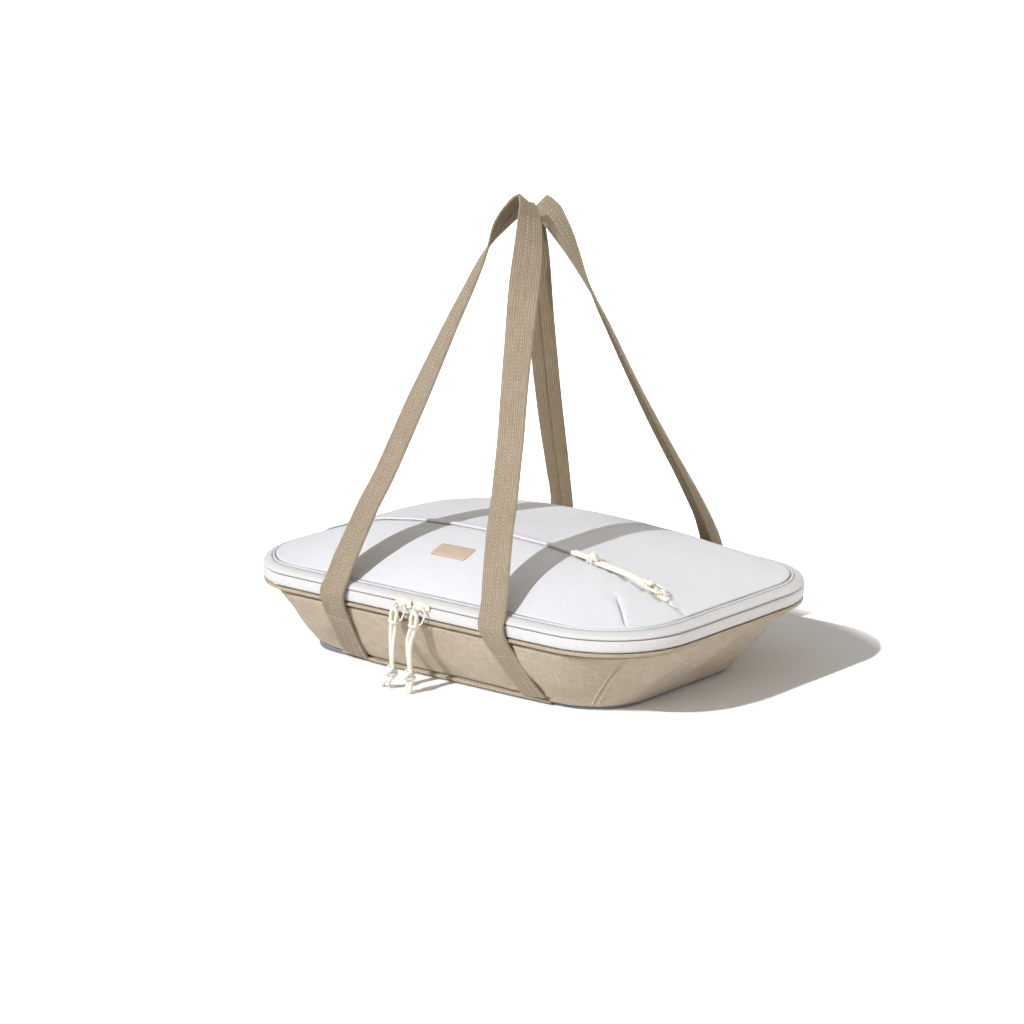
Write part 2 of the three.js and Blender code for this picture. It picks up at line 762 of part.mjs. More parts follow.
// Main sliders, nose to nose at the middle of the front, each with its pull.
const sliderFace = rimHalfY + clearance;
const sliderX = (sliderLength + sliderMeetGap) / 2;
const ringAxisY = -(sliderFace + sliderThickness + ringAxisReach);
const leanAngle = Math.asin(ringLean / ringLength);
const ringBottom = ringLength * Math.cos(leanAngle) + (cordWidth / 2) * Math.tan(leanAngle);
const cordTop = -(ringBottom + wireRadius / Math.cos(leanAngle) + clearance);
for (const [name, side] of [['left', -1], ['right', 1]]) {
  const body = addPiece(`${name}_slider`, slider(sliderLength, sliderHeight, 0), paintedMetal);
  body.position.set(side * sliderX, -sliderFace, zipHeight);
  body.rotation.y = side < 0 ? Math.PI : 0;

  const pull = new THREE.Group();
  pull.position.set(side * sliderX, ringAxisY, zipHeight);
  carrier.add(pull);
  addPiece(`${name}_pull_ring`, wireRing(leanAngle), paintedMetal, pull);
  const cordSteps = Math.round(cordLength / cordStep);
  const places = Array.from({ length: cordSteps + 1 }, (_, i) => (
    new THREE.Vector3(-ringLean, 0, cordTop - (cordLength * i) / cordSteps)
  ));
  const cord = cordTube(places, new THREE.Vector3(1, 0, 0), cordWidth, cordThickness);
  addPiece(`${name}_pull_cord`, cord, cordCloth, pull);
  const end = addPiece(`${name}_pull_knot`, knot(tailLength), cordCloth, pull);
  end.position.set(-ringLean, 0, cordTop - cordLength - clearance);
}

// Pocket slider: it runs on an arc that meets the lid where the slider rests.
const flapTop = flapLift + clearance;
const restRun = pocketSliderLength / 2;
const uphill = lidHeight(pocketSliderX - restRun, pocketLine);
const downhill = lidHeight(pocketSliderX + restRun, pocketLine);
const restAngle = Math.atan2(uphill - downhill, restRun * 2);
const runRadius = pocketSliderX / Math.sin(restAngle);
const runCentreZ = lidHeight(pocketSliderX, pocketLine) + flapTop - runRadius * Math.cos(restAngle);

const run = new THREE.Group();
run.position.set(0, pocketLine, runCentreZ);
carrier.add(run);

// A place on the run: an angle from the middle, a distance over the arc.
function runPlace(angle, over) {
  return new THREE.Vector3((runRadius + over) * Math.sin(angle), 0, (runRadius + over) * Math.cos(angle));
}

// Turns for what lies on the run: right is its way downhill on the right side.
function runAxes(angle) {
  const right = new THREE.Vector3(Math.cos(angle), 0, -Math.sin(angle));
  const over = new THREE.Vector3(Math.sin(angle), 0, Math.cos(angle));
  return { right, over };
}
function hangLeft(mesh, angle, dip) {
  const { right, over } = runAxes(angle);
  const up = right.multiplyScalar(Math.cos(dip)).addScaledVector(over, Math.sin(dip));
  const across = new THREE.Vector3(0, 1, 0);
  mesh.setRotationFromMatrix(new THREE.Matrix4().makeBasis(across, up.clone().cross(across), up));
}

const pocketSliderBody = slider(pocketSliderLength, pocketSliderWidth, Math.PI / 2);
const pocketSlider = addPiece('pocket_slider', pocketSliderBody, paintedMetal, run);
pocketSlider.position.copy(runPlace(restAngle, 0));
const restAxes = runAxes(restAngle);
pocketSlider.setRotationFromMatrix(new THREE.Matrix4().makeBasis(
  restAxes.right,
  restAxes.over.clone().negate(),
  new THREE.Vector3(0, 1, 0),
));

// Pocket pull: its ring leans down from the arch to the lid, the cord lies on.
const ringAxisOver = sliderThickness + ringAxisReach;
const restOver = cordThickness / 2 - flapLift + pocketPullRise;
const pocketRingDip = Math.asin((ringAxisOver - restOver) / ringLength);
const pocketRing = addPiece('pocket_pull_ring', wireRing(0), paintedMetal, run);
pocketRing.position.copy(runPlace(restAngle, ringAxisOver));
hangLeft(pocketRing, restAngle, pocketRingDip);
const ringSpan = ringLength * Math.cos(pocketRingDip) + wireRadius + clearance;
const cordAngleShare = 1 / (runRadius + restOver);
const pocketCordStart = restAngle - ringSpan * cordAngleShare;
const pocketCordSteps = Math.round(pocketCordLength / cordStep);
const pocketPlaces = Array.from({ length: pocketCordSteps + 1 }, (_, i) => (
  runPlace(pocketCordStart - (pocketCordLength * i * cordAngleShare) / pocketCordSteps, restOver)
));
const pocketCord = cordTube(pocketPlaces, new THREE.Vector3(0, 1, 0), cordWidth, cordThickness);
addPiece('pocket_pull_cord', pocketCord, cordCloth, run);
const knotAngle = pocketCordStart - (pocketCordLength + clearance) * cordAngleShare;
const pocketKnot = addPiece('pocket_pull_knot', knot(pocketTailLength), cordCloth, run);
pocketKnot.position.copy(runPlace(knotAngle, restOver + knotRadius - cordThickness / 2));
hangLeft(pocketKnot, knotAngle, 0);

export default carrier;
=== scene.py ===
import math
from itertools import accumulate
import bmesh
import bpy
from mathutils import Matrix, Vector, noise


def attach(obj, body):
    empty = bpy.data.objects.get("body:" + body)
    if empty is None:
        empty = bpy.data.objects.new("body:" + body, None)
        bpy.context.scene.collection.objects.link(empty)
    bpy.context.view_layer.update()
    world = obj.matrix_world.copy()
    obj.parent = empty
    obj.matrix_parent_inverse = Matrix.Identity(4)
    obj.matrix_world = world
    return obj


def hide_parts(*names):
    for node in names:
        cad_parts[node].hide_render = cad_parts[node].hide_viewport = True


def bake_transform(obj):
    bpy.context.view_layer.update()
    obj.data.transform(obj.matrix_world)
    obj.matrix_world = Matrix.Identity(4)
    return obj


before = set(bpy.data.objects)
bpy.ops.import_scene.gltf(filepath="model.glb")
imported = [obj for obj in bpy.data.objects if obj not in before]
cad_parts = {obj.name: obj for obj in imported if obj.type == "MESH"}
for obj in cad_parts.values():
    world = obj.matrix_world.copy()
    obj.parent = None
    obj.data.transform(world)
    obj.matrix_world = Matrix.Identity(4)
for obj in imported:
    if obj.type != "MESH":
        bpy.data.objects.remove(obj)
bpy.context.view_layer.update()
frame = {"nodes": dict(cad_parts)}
mm = 0.001
print("carrier: frame loaded")

# Camera, about three metres in front and to the right
cameraView = {
    "place": (1.945612, -2.397692, 0.905992), "pitch": 75.73626, "turn": 39.27563,
    "lens": 136.765, "sensor": 36,
}


def addObject(name, data):
    made = bpy.data.objects.new(name, data)
    bpy.context.scene.collection.objects.link(made)
    return made


camera = addObject("camera", bpy.data.cameras.new("camera"))
camera.location = cameraView["place"]
camera.rotation_euler = (math.radians(cameraView["pitch"]), 0, math.radians(cameraView["turn"]))
camera.data.sensor_width = cameraView["sensor"]
camera.data.lens = cameraView["lens"]
bpy.context.scene.camera = camera
bpy.context.scene.view_settings.view_transform = "Standard"


# Nodes

def paint(red, green, blue):
    # screen colour to linear
    def line(c):
        c = c / 255
        return c / 12.92 if c <= 0.04045 else ((c + 0.055) / 1.055) ** 2.4
    return (line(red), line(green), line(blue), 1)


def feed(tree, socket, value):
    if isinstance(value, bpy.types.NodeSocket):
        tree.links.new(value, socket)
    else:
        socket.default_value = value


def put(tree, kind, inputs=None, **settings):
    made = tree.nodes.new("ShaderNode" + kind)
    for key, value in settings.items():
        setattr(made, key, value)
    for key, value in (inputs or {}).items():
        feed(tree, made.inputs[key], value)
    return made


def calc(tree, operation, *values):
    return put(tree, "Math", dict(enumerate(values)), operation=operation).outputs[0]


def wave(tree, value, rate=math.pi):
    return calc(tree, "SINE", calc(tree, "MULTIPLY", value, rate))


def blendColour(tree, share, first, second):
    return put(tree, "Mix", {0: share, 6: first, 7: second}, data_type="RGBA").outputs[2]


def smoothStep(tree, value, low, high):
    return put(tree, "MapRange", {0: value, 1: low, 2: high}, interpolation_type="SMOOTHSTEP").outputs[0]


def clouds(tree, place, scale, detail, roughness=0.5):
    facts = {"Vector": place, "Scale": scale, "Detail": detail, "Roughness": roughness}
    return put(tree, "TexNoise", facts).outputs[0]


def objectPlace(tree):
    return put(tree, "TexCoord").outputs["Object"]


def millimetres(tree):
    facts = {0: objectPlace(tree), 1: (1000, 1000, 1000)}
    return put(tree, "VectorMath", facts, operation="MULTIPLY").outputs[0]


def clothPlace(tree):
    return put(tree, "UVMap", uv_map="cloth").outputs[0]


def newGroup(name, inputs, outputs):
    tree = bpy.data.node_groups.new(name, "ShaderNodeTree")
    for label, kind, value in inputs:
        socket = tree.interface.new_socket(label, in_out="INPUT", socket_type="NodeSocket" + kind)
        if value is not None:
            socket.default_value = value
    for label, kind in outputs:
        tree.interface.new_socket(label, in_out="OUTPUT", socket_type="NodeSocket" + kind)
    return tree, tree.nodes.new("NodeGroupInput").outputs, tree.nodes.new("NodeGroupOutput").inputs


weaveSettings = {
    "slub": (0.045, 0.9), "contrast": 3.2, "tone": 0.62,
    "meanHeight": 0.64, "shade": 0.22, "rough": (-0.12, 0.93),
}


def makeWeaveGroup():
    # plain weave: warp runs along the second direction, in millimetres
    s = weaveSettings
    tree, given, out = newGroup("plainWeave", [
        ("Place", "Vector", None), ("Pitch", "Float", 0.6), ("Heather", "Float", 0.5),
        ("Light", "Color", (1, 1, 1, 1)), ("Dark", "Color", (0.5, 0.5, 0.5, 1)),
    ], [("Color", "Color"), ("Height", "Float"), ("Roughness", "Float")])
    split = put(tree, "SeparateXYZ", {0: given["Place"]}).outputs
    u, v = (calc(tree, "DIVIDE", split[i], given["Pitch"]) for i in (0, 1))
    waveU, waveV = wave(tree, u), wave(tree, v)
    warpShows = smoothStep(tree, calc(tree, "MULTIPLY", waveU, waveV), -0.2, 0.2)
    sides = {0: warpShows, 2: calc(tree, "ABSOLUTE", waveV), 3: calc(tree, "ABSOLUTE", waveU)}
    high = put(tree, "Mix", sides).outputs[0]
    # slubs: each yarn is lighter and darker along its length
    streaks = []
    for across, along in (s["slub"], s["slub"][::-1]):
        place = {0: calc(tree, "MULTIPLY", u, across), 1: calc(tree, "MULTIPLY", v, along)}
        streaks.append(clouds(tree, put(tree, "CombineXYZ", place).outputs[0], 1.0, 2.0))
    streak = put(tree, "Mix", {0: warpShows, 2: streaks[0], 3: streaks[1]}).outputs[0]
    contrast = calc(tree, "MULTIPLY", given["Heather"], s["contrast"])
    tone = calc(tree, "MULTIPLY_ADD", calc(tree, "SUBTRACT", streak, 0.5), contrast, s["tone"])
    lowered = calc(tree, "MULTIPLY_ADD", calc(tree, "SUBTRACT", high, s["meanHeight"]), s["shade"], tone)
    share = put(tree, "Clamp", {0: lowered}).outputs[0]
    feed(tree, out["Color"], blendColour(tree, share, given["Dark"], given["Light"]))
    feed(tree, out["Height"], high)
    feed(tree, out["Roughness"], calc(tree, "MULTIPLY_ADD", high, *s["rough"]))
    return tree


def makeRibGroup():
    # ribs across the first direction, broken by the small crossings of a tape
    tree, given, out = newGroup("tapeRibs", [
        ("Place", "Vector", None), ("Pitch", "Float", 1.0), ("Knuckle", "Float", 0.8),
    ], [("Height", "Float"), ("GrooveShade", "Float")])
    split = put(tree, "SeparateXYZ", {0: given["Place"]}).outputs
    u = calc(tree, "DIVIDE", split[0], given["Pitch"])
    rib = calc(tree, "ABSOLUTE", wave(tree, u))
    step = calc(tree, "MULTIPLY", calc(tree, "FLOOR", u), 0.5)
    v = calc(tree, "ADD", calc(tree, "DIVIDE", split[1], given["Knuckle"]), step)
    knuckle = calc(tree, "ABSOLUTE", wave(tree, v))
    feed(tree, out["Height"], calc(tree, "MULTIPLY_ADD", knuckle, 0.35, calc(tree, "MULTIPLY", rib, 0.65)))
    # the groove mask, where painted shade is laid between the ribs
    feed(tree, out["GrooveShade"], calc(tree, "SUBTRACT", 1.0, calc(tree, "POWER", rib, 0.5)))
    return tree


def makeSoftToneGroup():
    # slow changes of tone, as cloth shows where it was folded and handled
    tree, given, out = newGroup("softTone", [
        ("Color", "Color", (1, 1, 1, 1)), ("Place", "Vector", None), ("Size", "Float", 0.05),
        ("Amount", "Float", 0.1), ("Soil", "Color", (0.3, 0.25, 0.2, 1)),
    ], [("Color", "Color"), ("Mask", "Float")])
    spread = put(tree, "CombineXYZ", {i: given["Size"] for i in range(3)}).outputs[0]
    place = put(tree, "VectorMath", {0: given["Place"], 1: spread}, operation="DIVIDE").outputs[0]
    mask = smoothStep(tree, clouds(tree, place, 1.0, 4.0, 0.6), 0.35, 0.7)
    share = calc(tree, "MULTIPLY", mask, given["Amount"])
    feed(tree, out["Color"], blendColour(tree, share, given["Color"], given["Soil"]))
    feed(tree, out["Mask"], mask)
    return tree


weaveGroup = makeWeaveGroup()
ribGroup = makeRibGroup()
softToneGroup = makeSoftToneGroup()


# Materials

def newMaterial(name, **shader):
    material = bpy.data.materials.new(name)
    material.use_nodes = True
    body = material.node_tree.nodes["Principled BSDF"].inputs
    for key, value in shader.items():
        body[key.replace("_", " ")].default_value = value
    return material, material.node_tree, body


def surface(tree, body, colour, height, depth, **others):
    # depth is how high the finest relief stands, in millimetres
    bump = put(tree, "Bump", {"Height": height, "Distance": depth * mm, "Strength": 1.0}).outputs[0]
    for key, value in {"Base Color": colour, "Normal": bump, **others}.items():
        feed(tree, body[key], value)


def clothMaterial(name, s):
    material, tree, body = newMaterial(
        name, Sheen_Weight=s["sheen"], Sheen_Roughness=0.5, Specular_IOR_Level=0.2)
    place = clothPlace(tree)
    soilAndGrooveShade = paint(*s["soilAndGrooveShade"])
    weave = put(tree, "Group", {
        "Place": place, "Pitch": s["pitch"], "Heather": s["heather"],
        "Light": paint(*s["light"]), "Dark": paint(*s["dark"]),
    }, node_tree=weaveGroup).outputs
    colour, high = weave["Color"], weave["Height"]
    if "rib" in s:  # a woven band or a braid
        # painted shade: the grooves between the ribs are darkened toward the soil colour
        facts = {"Place": place, "Pitch": s["rib"], "Knuckle": s["knuckle"]}
        ribs = put(tree, "Group", facts, node_tree=ribGroup).outputs
        colour = blendColour(tree, calc(tree, "MULTIPLY", ribs["GrooveShade"], s["grooveShadeShare"]), colour, soilAndGrooveShade)
        high = calc(tree, "MULTIPLY_ADD", high, 0.3, ribs["Height"])
    tone = put(tree, "Group", {
        "Color": colour, "Place": objectPlace(tree), "Size": s["toneSize"], "Amount": s["tone"], "Soil": soilAndGrooveShade,
    }, node_tree=softToneGroup).outputs
    surface(tree, body, tone["Color"], high, s["relief"], Roughness=weave["Roughness"])
    return material


# for ribbed cloth the soil colour is also the painted shade laid in the grooves between ribs
clothFacts = ("light", "dark", "soilAndGrooveShade", "pitch", "heather", "relief", "tone", "toneSize", "sheen",
              "rib", "knuckle", "grooveShadeShare")
clothTable = {
    "canvasCloth": ((221, 206, 184), (168, 150, 125), (166, 147, 120), 0.62, 0.85, 0.10, 0.1, 0.035, 0.1),
    "trimCloth": ((210, 194, 170), (160, 143, 118), (150, 131, 104), 0.62, 0.7, 0.10, 0.12, 0.02, 0.1),
    # the base cloth is grey so its rim, seen under the lifted foot, gives the dark line there: painted shade
    # for a contact shadow
    "baseCloth": ((146, 149, 154), (104, 107, 113), (96, 97, 100), 0.62, 0.6, 0.10, 0.15, 0.03, 0.1),
    "lidCloth": ((243, 243, 245), (221, 223, 227), (222, 223, 228), 0.55, 0.45, 0.11, 0.08, 0.05, 0.08),
    "patchCloth": ((226, 205, 184), (188, 163, 140), (176, 152, 130), 0.5, 0.4, 0.10, 0.1, 0.01, 0.1),
    "liningCloth": ((214, 216, 219), (190, 192, 196), (190, 192, 197), 0.4, 0.2, 0.05, 0.2, 0.03, 0.1),
    "pipingCloth": ((240, 240, 241), (212, 213, 216), (190, 190, 192), 0.45, 0.4, 0.08, 0.12, 0.02, 0.1),
    "webbing": (
        (202, 186, 162), (154, 136, 111), (116, 98, 75), 0.45, 0.8, 0.40, 0.14, 0.02, 0.12, 2.15, 1.2, 0.75),
    # the straps' inner faces take a darker copy of the webbing: painted shade
    "webbingInner": (
        (180, 161, 131), (132, 113, 84), (98, 80, 54), 0.45, 0.8, 0.45, 0.12, 0.02, 0.12, 2.15, 1.2, 0.8),
    "zipTape": (
        (250, 249, 248), (236, 234, 231), (206, 202, 197), 0.5, 0.3, 0.34, 0.05, 0.02, 0.12, 2.2, 0.9, 0.55),
    "pocketTapeCloth": (
        (238, 235, 232), (218, 213, 209), (188, 180, 174), 0.5, 0.3, 0.20, 0.06, 0.02, 0.12, 1.1, 0.9, 0.4),
    "braid": (
        (255, 254, 248), (250, 244, 226), (226, 204, 158), 0.5, 0.3, 0.18, 0.05, 0.02, 0.12, 0.85, 1.3, 0.35),
}
looks = {name: clothMaterial(name, dict(zip(clothFacts, row))) for name, row in clothTable.items()}


def makeThread(name, light, dark):
    material, tree, body = newMaterial(name, Roughness=0.6, Specular_IOR_Level=0.35, Sheen_Weight=0.1)
    facts = {"Vector": millimetres(tree), "Scale": 1.2, "Distortion": 2.0, "Detail": 1.0}
    ply = put(tree, "TexWave", facts, bands_direction="DIAGONAL").outputs["Fac"]
    surface(tree, body, blendColour(tree, ply, paint(*dark), paint(*light)), ply, 0.05)
    looks[name] = material


def makeLacquer(name, light, worn):
    # lacquered metal, worn warm in scattered chips
    material, tree, body = newMaterial(name, Specular_IOR_Level=0.5, Coat_Weight=0.25, Coat_Roughness=0.2)
    chips = smoothStep(tree, clouds(tree, millimetres(tree), 0.55, 6.0, 0.65), 0.56, 0.66)
    surface(tree, body, blendColour(tree, chips, paint(*light), paint(*worn)),
            calc(tree, "SUBTRACT", 1.0, chips), 0.03,
            Roughness=calc(tree, "MULTIPLY_ADD", chips, 0.25, 0.28),
            Metallic=calc(tree, "MULTIPLY", chips, 0.55))
    looks[name] = material


def makeCoil(name, toothPitch, light, dark):
    material, tree, body = newMaterial(name, Specular_IOR_Level=0.45)
    place = clothPlace(tree)
    split = put(tree, "SeparateXYZ", {0: place}).outputs
    teeth = calc(tree, "ABSOLUTE", wave(tree, split[1], math.pi / toothPitch))
    shade = calc(tree, "MULTIPLY", teeth, calc(tree, "ADD", clouds(tree, place, 0.4, 3.0), 0.4))
    surface(tree, body, blendColour(tree, shade, paint(*dark), paint(*light)), teeth, 0.3,
            Roughness=calc(tree, "MULTIPLY_ADD", teeth, -0.2, 0.6))
    looks[name] = material


def makeBoard(name, light, dark):
    material, tree, body = newMaterial(name, Specular_IOR_Level=0.3)
    flecks = clouds(tree, millimetres(tree), 0.8, 8.0, 0.7)
    surface(tree, body, blendColour(tree, flecks, paint(*dark), paint(*light)), flecks, 0.08,
            Roughness=calc(tree, "MULTIPLY_ADD", flecks, 0.3, 0.6))
    looks[name] = material


makeThread("strapThread", (240, 228, 208), (190, 173, 147))
makeThread("tanThread", (250, 240, 222), (210, 194, 166))
makeThread("whiteThread", (250, 249, 247), (214, 212, 208))
makeLacquer("whiteLacquer", (246, 241, 226), (196, 172, 128))
makeLacquer("ringLacquer", (250, 245, 230), (188, 160, 110))
makeCoil("coilNylon", 1.3, (196, 172, 136), (96, 76, 54))
makeBoard("boardPulp", (196, 166, 128), (120, 96, 68))
print("carrier: materials made")


# Shaping helpers, all in millimetres

def ease(value, low, high):
    share = min(max((value - low) / (high - low), 0), 1)
    return share * share * (3 - 2 * share)


def bell(value, centre, width):
    return math.exp(-((value - centre) / width) ** 2)


def mix(a, b, share):
    return a + (b - a) * share


def rough(*place):
    return noise.noise(Vector(place))


def arc(centre, radii, start, end, steps):
    # an arc of an ellipse, with its ends in degrees
    angles = [math.radians(mix(start, end, i / steps)) for i in range(steps + 1)]
    return [(centre[0] + radii[0] * math.cos(a), centre[1] + radii[1] * math.sin(a)) for a in angles]


def smoothPath(points, steps):
    # passes through every point, with steps pieces between neighbours
    points = [Vector(p) for p in points]
    path = []
    for i in range(len(points) - 1):
        a, b, c, d = points[max(i - 1, 0)], points[i], points[i + 1], points[min(i + 2, len(points) - 1)]
        for k in range(steps):
            t = k / steps
            bend = (2 * a - 5 * b + 4 * c - d) * t * t + (3 * b - a - 3 * c + d) * t ** 3
            path.append(0.5 * (2 * b + (c - a) * t + bend))
    return path + [points[-1]]


def sweep(rings, loopPath=False, capped=False, centres=(0,), seams=()):
    # the first ring is given point by point and pulled through the others, and its cloth is laid out flat
    bm = bmesh.new()
    ringMark = bm.verts.layers.int.new("ring")
    pointMark = bm.verts.layers.int.new("point")
    row = [bm.verts.new(p) for p in rings[0]]
    edges = [bm.edges.new((row[i], row[(i + 1) % len(row)])) for i in range(len(row))]
    firstEdges = list(edges)
    for point, vert in enumerate(row):
        vert[pointMark] = point
    for index, ring in enumerate(rings[1:], 1):
        made = bmesh.ops.extrude_edge_only(bm, edges=edges)["geom"]
        fresh = {g for g in made if isinstance(g, bmesh.types.BMVert)}
        row = [next(e.other_vert(old) for e in old.link_edges if e.other_vert(old) in fresh) for old in row]
        for point, (new, place) in enumerate(zip(row, ring)):
            new.co = place
            new[ringMark] = index
            new[pointMark] = point
        edges = [g for g in made if isinstance(g, bmesh.types.BMEdge) and all(v in fresh for v in g.verts)]
    if loopPath:
        bmesh.ops.bridge_loops(bm, edges=firstEdges + edges)
    layCloth(bm, rings, loopPath, centres, seams)
    if capped:
        for rim in (firstEdges, edges):
            bmesh.ops.edgeloop_fill(bm, edges=rim)
    return bm


def layCloth(bm, rings, loopPath, centres, seams):
    # each panel's cloth is measured along and across from its own centre
    def gap(a, b):
        return (Vector(b) - Vector(a)).length
    ringMark, pointMark = (bm.verts.layers.int[mark] for mark in ("ring", "point"))
    count, total = len(rings[0]), len(rings)
    across = [list(accumulate(map(gap, ring, ring[1:] + ring[:1]), initial=0.0)) for ring in rings]
    along = [[0.0] * count]
    for one, two in zip(rings, rings[1:] + rings[:1] * loopPath):
        along.append([run + gap(a, b) for run, a, b in zip(along[-1], one, two)])
    uv = bm.loops.layers.uv.new("cloth")
    for face in bm.faces:
        points = [v[pointMark] for v in face.verts]
        ringsHere = [v[ringMark] for v in face.verts]
        wrapPoint = max(points) - min(points) > 1
        wrapRing = loopPath and max(ringsHere) - min(ringsHere) > 1
        low = max(points) if wrapPoint else min(points)
        panel = sum(1 for s in seams if s <= low) % len(centres)
        for loop in face.loops:
            point, ring = loop.vert[pointMark], loop.vert[ringMark]
            lift = count if wrapPoint and point == 0 else 0
            tall = total if wrapRing and ring == 0 else ring
            u = across[ring][point + lift] - across[ring][centres[panel]]
            if seams and panel == 0 and low >= seams[-1]:
                u -= across[ring][-1]
            loop[uv].uv = (u, along[tall][point])


# the real one isn't quite even: its left end sits in a little and its pocket line bows
unevenness = {
    "end": (110, 215), "endBy": 11, "tray": (58.2, 58.6), "lid": (84, 92),
    "bowBy": 4.2, "bowHalf": 190, "bowLine": -49.5, "bowSpread": 30,
    "curl": 4.6, "curlRight": 1.4, "curlRun": (66, 134), "curlRise": (0.4, 2.0), "curlFade": (2, 30),
    "footBy": -12, "sideBy": 4, "side": (4, 50), "foot": (84, 138),
}


def settled(place):
    s = unevenness
    x, y, z = place
    outward = mix(s["footBy"], s["sideBy"], ease(z, *s["side"])) * ease(-x, *s["foot"])
    outward *= 1 - ease(z, *s["tray"])
    bow = s["bowBy"] * max(1 - (x / s["bowHalf"]) ** 2, 0) * bell(y, s["bowLine"], s["bowSpread"])
    curl = s["curl" if x < 0 else "curlRight"] * ease(abs(x), *s["curlRun"])
    lift = curl * (1 - ease(z, *s["curlFade"])) * ease(z, *s["curlRise"])
    return Vector((x + s["endBy"] * ease(-x, *s["end"]) + outward, y + bow * ease(z, *s["lid"]), z + lift))


def finishPiece(bm, name, materials, body, stands=(), wall=0, keepNormals=False):
    bmesh.ops.remove_doubles(bm, verts=bm.verts, dist=0.0005)
    if body:
        for vert in bm.verts:
            vert.co = settled(vert.co)
    if not keepNormals:
        bmesh.ops.recalc_face_normals(bm, faces=bm.faces)
    if wall:
        bmesh.ops.solidify(bm, geom=bm.faces[:], thickness=wall)
    bmesh.ops.scale(bm, vec=(mm, mm, mm), verts=bm.verts)
    mesh = bpy.data.meshes.new(name)
    bm.to_mesh(mesh)
    bm.free()
    for material in materials.split():
        mesh.materials.append(looks[material])
    mesh.polygons.foreach_set("use_smooth", [True] * len(mesh.polygons))
    piece = addObject(name, mesh)
    if body:
        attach(piece, body)
    if stands:
        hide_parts(*stands)
    return piece


def joinInto(bm, other, materialIndex=0):
    for face in other.faces:
        face.material_index = materialIndex
    spare = bpy.data.meshes.new("spare")
    other.to_mesh(spare)
    other.free()
    bm.from_mesh(spare)
    bpy.data.meshes.remove(spare)


def clothCorners(bm):
    # every corner of every face with its place on the cloth
    uv = bm.loops.layers.uv["cloth"]
    return [(loop, loop[uv]) for face in bm.faces for loop in face.loops]


def upward(bm, probe):
    # turns the whole sheet over where the probe face looks down
    if probe.normal.z < 0:
        bmesh.ops.reverse_faces(bm, faces=bm.faces)


def tubeRings(path, radius, sides, closed=False):
    # round rings carried along a path without turning
    rings = []
    count = len(path)
    side = None
    for i, place in enumerate(path):
        before = path[(i - 1) % count] if closed else path[max(i - 1, 0)]
        after = path[(i + 1) % count] if closed else path[min(i + 1, count - 1)]
        along = (after - before).normalized()
        if side is None:
            side = along.orthogonal().normalized()
        side = (side - along * side.dot(along)).normalized()
        up = along.cross(side)
        width = radius(i / (count - 1)) if callable(radius) else radius
        turns = [2 * math.pi * k / sides for k in range(sides)]
        rings.append([place + (side * math.cos(turn) + up * math.sin(turn)) * width for turn in turns])
    return rings


def stitches(places, settings):
    # a sewn row: one small grain of thread for each stitch, places are (point, outward) pairs
    bm = bmesh.new()
    run = 0
    due = settings["gap"]
    size = Matrix.Diagonal((settings["length"] / 2, settings["thick"] / 2, settings["thick"] / 2, 1))
    for (here, outward), (there, _) in zip(places, places[1:]):
        step = (there - here).length
        while run + step >= due and step > 0:
            along = (there - here).normalized()
            up = (outward - along * outward.dot(along)).normalized()
            turn = Matrix((along, up.cross(along), up)).transposed().to_4x4()
            spot = Matrix.Translation(here.lerp(there, (due - run) / step) + up * settings["lift"])
            bmesh.ops.create_icosphere(bm, subdivisions=1, radius=1, matrix=spot @ turn @ size)
            due += settings["length"] + settings["gap"]
        run += step
    return bm


# Outline of the carrier seen from above, in order from the front's left end
outlineSteps = {"long": 44, "short": 20}
cornerTurns = (0, 7, 14, 21, 28, 34, 39, 42.6, 44.2, 45, 45.8, 47.4, 51, 56, 62, 69, 76, 83)
rimSize = (215, 142, 75)
zipEnd = 73
hingeLap = 5


def makeStations():
    stations = []
    corners = [(-1, -1), (1, -1), (1, 1), (-1, 1)]
    for side in range(4):
        a, b = corners[side], corners[(side + 1) % 4]
        face = -90 + 90 * side
        for i in range(sideRun[side]):
            stations.append((mix(a[0], b[0], i / sideRun[side]), mix(a[1], b[1], i / sideRun[side]), face))
        stations += [(b[0], b[1], face + turn) for turn in cornerTurns]
    return stations


sideRun = [outlineSteps["long"], outlineSteps["short"]] * 2
sideStart = [sum(sideRun[:i]) + i * len(cornerTurns) for i in range(4)]
panelCentres = [sideStart[i] + sideRun[i] // 2 for i in range(4)]
cornerSeams = [sideStart[i] + sideRun[i] + cornerTurns.index(45) for i in range(4)]
stations = makeStations()
zipStations = [s for s in stations if s[2] >= 180 - zipEnd] + [s for s in stations if s[2] <= zipEnd]
hingeStations = [s for s in stations if zipEnd - hingeLap <= s[2] <= 180 - zipEnd + hingeLap]


def outlinePlace(station, size, height, out=0.0):
    halfX, halfY, radius = size
    turn = math.radians(station[2])
    reach = radius + out
    return Vector((
        station[0] * (halfX - radius) + math.cos(turn) * reach,
        station[1] * (halfY - radius) + math.sin(turn) * reach,
        height,
    ))


def outlineRing(size, height, out=0.0):
    return [outlinePlace(station, size, height, out) for station in stations]


def bandRings(along, section, wander=0.0):
    # section is a list of (outward, height), wander lets soft trim lie a little uneven
    rings = []
    for station in along:
        at = outlinePlace(station, rimSize, 0)
        drift = noise.noise(at / 38) * wander
        lift = noise.noise(at / 55 + Vector((9, 4, 2))) * wander
        rings.append([outlinePlace(station, rimSize, z + lift, out + drift) for out, z in section])
    return rings


print("carrier: helpers ready")


# Cords of the three pulls

